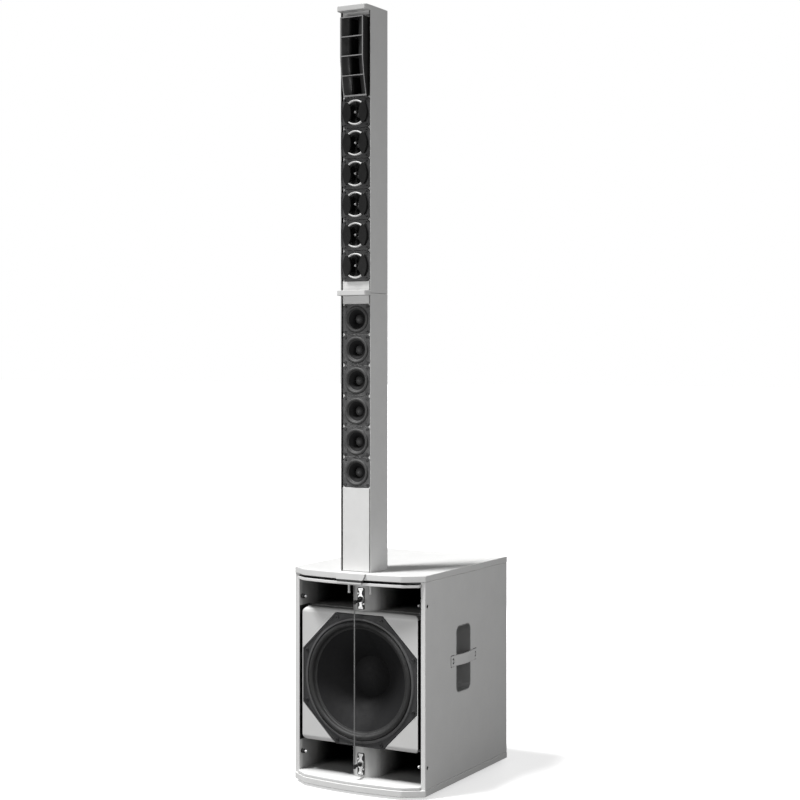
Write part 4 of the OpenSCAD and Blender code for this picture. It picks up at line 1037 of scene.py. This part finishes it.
def mid_drivers(end, zs):
    column_body, cone_body = end + "_column", end + "_mid_cones"
    name = end.title() + "Mid"
    y = MID_Y
    frames, surrounds, cones, domes = [], [], [], []
    for z in zs:
        frames.append(plate([cut_corner_outline(z), circle(0, z, MID_HOLE_R, 56)], y, y + 3.5, 0.7, "y"))
        basket = [(38.3, 3.5), (41, 3.5), (41, 8), (29.5, 32), (14, 32), (14, 30), (27.5, 30), (38, 8)]
        frames.append(lathe(basket, 0, y, z, steps=40, closed=True))
        roll = [(40.6, 0.3), (40, -0.4)] + arc(35.2, -0.6, 4.6, -4, -172, 14) + [(30, 1.4), (27.8, 3.2)]
        surrounds.append(lathe(thickened(roll, 0.3, 0.6), 0, y, z, steps=64, closed=True))
        curve = [(28.6, 2.7), (25, 4.2), (21.5, 6.4), (18.6, 9.4), (16, 13.2), (13.6, 18.4)]
        shell = curve + [(12.9, 18.8), (12.9, 36), (12.3, 36), (12.3, 19.4)]
        shell += [(r - 0.4, d + 0.8) for r, d in reversed(curve)]
        cones.append(lathe(shell, 0, y, z, steps=64, closed=True))
        domes.append(lathe(arc(0, 26, 15.4, 270, 270 + 55, 12) + [(13.4, 18.4)], 0, y, z, steps=48))
    boss = [(4.6, 0.4), (4.4, -1), (3.6, -1.3), (3.2, -0.8), (3.1, 0.4)]
    bosses = [lathe(boss, x, y, z, steps=20) for x, z in mid_screw_places(zs)]
    piece(name + "Frames", frames, "mid_frame", column_body, [end + "_frames"])
    if end == "lower":
        piece("LowerScrewBosses", bosses, "mid_frame", column_body)
    surround = piece(name + "Surrounds", surrounds, "surround", None, [end + "_surrounds"],
                     finish="mid_surround")
    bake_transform(surround)
    piece(name + "Cones", cones, "cone", cone_body, [end + "_cones"])
    # The paper dust caps take the lighter grey as a painted highlight.
    piece(name + "Domes", domes, "cone", cone_body, finish="mid_dome")
    seat = y if end == "lower" else y - INSERT_T
    heads = []
    for x, z in mid_screw_places(zs):
        heads += screw_head(x, z, seat + 0.2, seat - 1.8, 2.9, "y")
    piece(name + "Screws", heads, "black_steel", column_body, [end + "_screws"])


def dispersion_inserts(zs):
    """Plates over the upper drivers that leave a leaf of black on each side and a plug in the middle."""
    y = MID_Y - INSERT_T
    bevel = [(32.6, -4), (33, -6.6), (34, -8), (35.6, -8.3), (36.8, -7.4), (37.4, -5), (37.4, 0.5),
             (33.4, 0.5)]
    faces, painted_highlight_arcs, blades, plugs = [], [], [], []
    for z in zs:
        faces.append(plate([cut_corner_outline(z, 0.2), circle(0, z, INSERT_HOLE_R, 56)], y, MID_Y, 0.8, "y"))
        for middle in (90, 270):
            # Painted highlight: the bevel arcs on the black insert are made white.
            painted_highlight_arcs.append(lathe(bevel, 0, y, z, steps=28, closed=True, start=middle - 53, end=middle + 53))
        leaf = arc(64, z, 50.5, 218, 142, 16) + arc(-13, z, 54.5, 34.8, -34.8, 16)
        for side in (-1, 1):
            blades.append(plate([[(side * x, b) for x, b in leaf]], y - 9, y + 0.4, 1.3, "y"))
        plugs.append(lathe([(0, -10), (0.9, -9.7), (2.2, -6), (3.2, -4.4)], 0, y, z, steps=32))
        blades.append(lathe([(3.1, -4.5), (6, -0.6), (6.2, 1)], 0, y, z, steps=32))
        blades.append(plate([rect(-1.2, 1.2, z - INSERT_HOLE_R - 0.5, z + INSERT_HOLE_R + 0.5)],
                            y + 0.6, MID_Y - 0.6, 0.4, "y"))
    piece("InsertPlates", faces, "mid_frame", "upper_column", ["upper_inserts"])
    # The white moulding on the arcs is a painted highlight.
    piece("InsertBevelHighlights", painted_highlight_arcs, "white_moulding", "upper_column")
    piece("InsertBlades", blades, "black_plastic", "upper_column", finish="deep_black")
    piece("InsertPlugs", plugs, "bright_steel", "upper_column")


# ---------- Horn ----------

def lofted(loops):
    """A closed solid through a stack of outlines that all have the same number of points."""
    count = len(loops[0])
    verts = [point for loop in loops for point in loop]
    faces = [tuple(range(count)), tuple(range(len(verts) - count, len(verts)))]
    for i in range(len(loops) - 1):
        for k in range(count):
            m = (k + 1) % count
            faces.append((i * count + k, i * count + m, (i + 1) * count + m, (i + 1) * count + k))
    mesh = bpy.data.meshes.new("loft")
    mesh.from_pydata(verts, [], faces)
    return mesh


def horn():
    half_w = 39.3
    wall = 3
    mouth_y = horn_low.y
    back_y = COLUMN_Y + 62
    sweep_h = (HORN_HIGH - HORN_LOW) / 2

    def setback(z):
        return 20 * max(0, 1 - (z - HORN_LOW) / sweep_h) ** 1.4

    side = [(COLUMN_Y + 6, HORN_HIGH), (mouth_y, HORN_HIGH)]
    for i in range(17):
        z = HORN_LOW + sweep_h * (1 - i / 16)
        side.append((mouth_y + setback(z), z))
    side.append((COLUMN_Y + 6, HORN_LOW))

    # How far the cell has closed in, as (depth behind the mouth, half width).
    flare = ((-3, 37.6), (0, 37.4), (0.8, 35.4), (2.6, 31), (5.4, 26), (9, 21), (13.6, 16.4), (20, 13))
    sill = 5
    cell_h = (HORN_HIGH - HORN_LOW - sill) / 4

    def cells():
        cutters = []
        for i in range(4):
            low = HORN_LOW + sill + i * cell_h
            loops = []
            for step in range(9):
                z = low + (cell_h - wall) * step / 8
                right = [(half, mouth_y + setback(z) + depth, z) for depth, half in flare]
                right += [(10, mouth_y + 50, z), (8, back_y - 6, z)]
                loops.append(right + [(-x, y, level) for x, y, level in reversed(right)])
            cutters.append(lofted(loops))
        return cutters

    mouth = carved(plate([side], -half_w, half_w, 0, "x", 0), cells(), edge=0.8)
    flange = plate([rect(-MID_HALF_W, MID_HALF_W, HORN_LOW, HORN_HIGH),
                    rect(-38, 38, HORN_LOW + 2, HORN_HIGH - 2)], COLUMN_Y + 6, WALL_Y + WALL_T, 0.6, "y")
    outer = [(-41, WALL_Y), (41, WALL_Y), (14, back_y), (-14, back_y)]
    throat = carved(plate([outer], HORN_LOW + 1, HORN_HIGH - 1, 0, "z", 0), cells())
    collar = [(12.5, back_y - 6), (30, back_y - 6), (30, back_y + 4), (12.5, back_y + 4)]
    collar_mesh = lathe(collar, 0, 0, (HORN_LOW + HORN_HIGH) / 2, closed=True, steps=40)
    stand_in("horn", [mouth], "horn_plastic", "upper_column")
    piece("HornFlange", [flange], "horn_plastic", "upper_column")
    piece("HornThroat", [throat, collar_mesh], "horn_plastic", "upper_column")


cabinet_shell()
baffle()
port_dividers()
feet()
bass_driver()
rod_and_brackets()
grille_fittings()
handles()
amplifier()
lower_section()
upper_section()


# ---------- Stage, light and camera ----------

def camera_switch(tree, seen, unseen):
    """One shader for what the camera sees, and another for the light that it sends to the object."""
    rays = tree.nodes.new("ShaderNodeLightPath")
    mix = tree.nodes.new("ShaderNodeMixShader")
    tree.links.new(rays.outputs["Is Camera Ray"], mix.inputs[0])
    tree.links.new(unseen.outputs[0], mix.inputs[1])
    tree.links.new(seen.outputs[0], mix.inputs[2])
    return mix.outputs[0]


def stage():
    floor_material = new_material("Floor", (0.55, 0.55, 0.55), 0.9)
    tree = floor_material.node_tree
    white = tree.nodes["Principled BSDF"]
    set_inputs(white, Emission_Color=(1, 1, 1, 1), Emission_Strength=0.6)
    dim = tree.nodes.new("ShaderNodeBsdfDiffuse")
    set_inputs(dim, Color=(0.12, 0.12, 0.12, 1))
    tree.links.new(camera_switch(tree, white, dim), tree.nodes["Material Output"].inputs["Surface"])
    mesh = bpy.data.meshes.new("Floor")
    reach = 60
    mesh.from_pydata([(-reach, -reach, 0), (reach, -reach, 0), (reach, reach, 0), (-reach, reach, 0)], [],
                     [(0, 1, 2, 3)])
    mesh.materials.append(floor_material)
    floor = linked("Floor", mesh)


def aim(obj, travel):
    obj.rotation_euler = Vector(travel).to_track_quat("-Z", "Y").to_euler()


def softbox(name, place, target, width, height, power):
    light = bpy.data.lights.new(name, "AREA")
    light.shape = "RECTANGLE"
    light.size = width
    light.size_y = height
    light.energy = power
    obj = linked(name, light)
    obj.location = place
    aim(obj, Vector(target) - Vector(place))


def lights():
    world = bpy.data.worlds.new("Studio")
    world.use_nodes = True
    bpy.context.scene.world = world
    tree = world.node_tree
    fill = tree.nodes["Background"]
    set_inputs(fill, Color=(1, 1, 1, 1), Strength=0.14)
    backdrop = tree.nodes.new("ShaderNodeBackground")
    set_inputs(backdrop, Color=(1, 1, 1, 1), Strength=1.0)
    tree.links.new(camera_switch(tree, backdrop, fill), tree.nodes["World Output"].inputs["Surface"])

    key = bpy.data.lights.new("Key", "SUN")
    key.energy = 5.6
    key.angle = radians(10)
    aim(linked("Key", key), (0.3, 0.33, -1.2))
    softbox("Front", (-1.3, -3.4, 0.8), (0, 0, 0.6), 1.0, 1.0, 40)
    softbox("Strip", (2.6, -1.0, 1.2), (0, -0.1, 0.8), 1.0, 2.2, 28)
    softbox("Back", (-0.5, 3.3, 0.9), (0, 0.2, 0.8), 1.4, 1.4, 34)


def camera():
    data = bpy.data.cameras.new("Camera")
    data.lens = 73.76
    data.sensor_width = 36
    data.shift_y = -0.055
    data.clip_end = 200
    obj = linked("Camera", data)
    obj.location = (2.498, -4.410, 1.2865)
    aim(obj, (-0.4924, 0.8704, 0))
    bpy.context.scene.camera = obj


stage()
lights()
camera()
bpy.context.scene.view_settings.view_transform = "Standard"
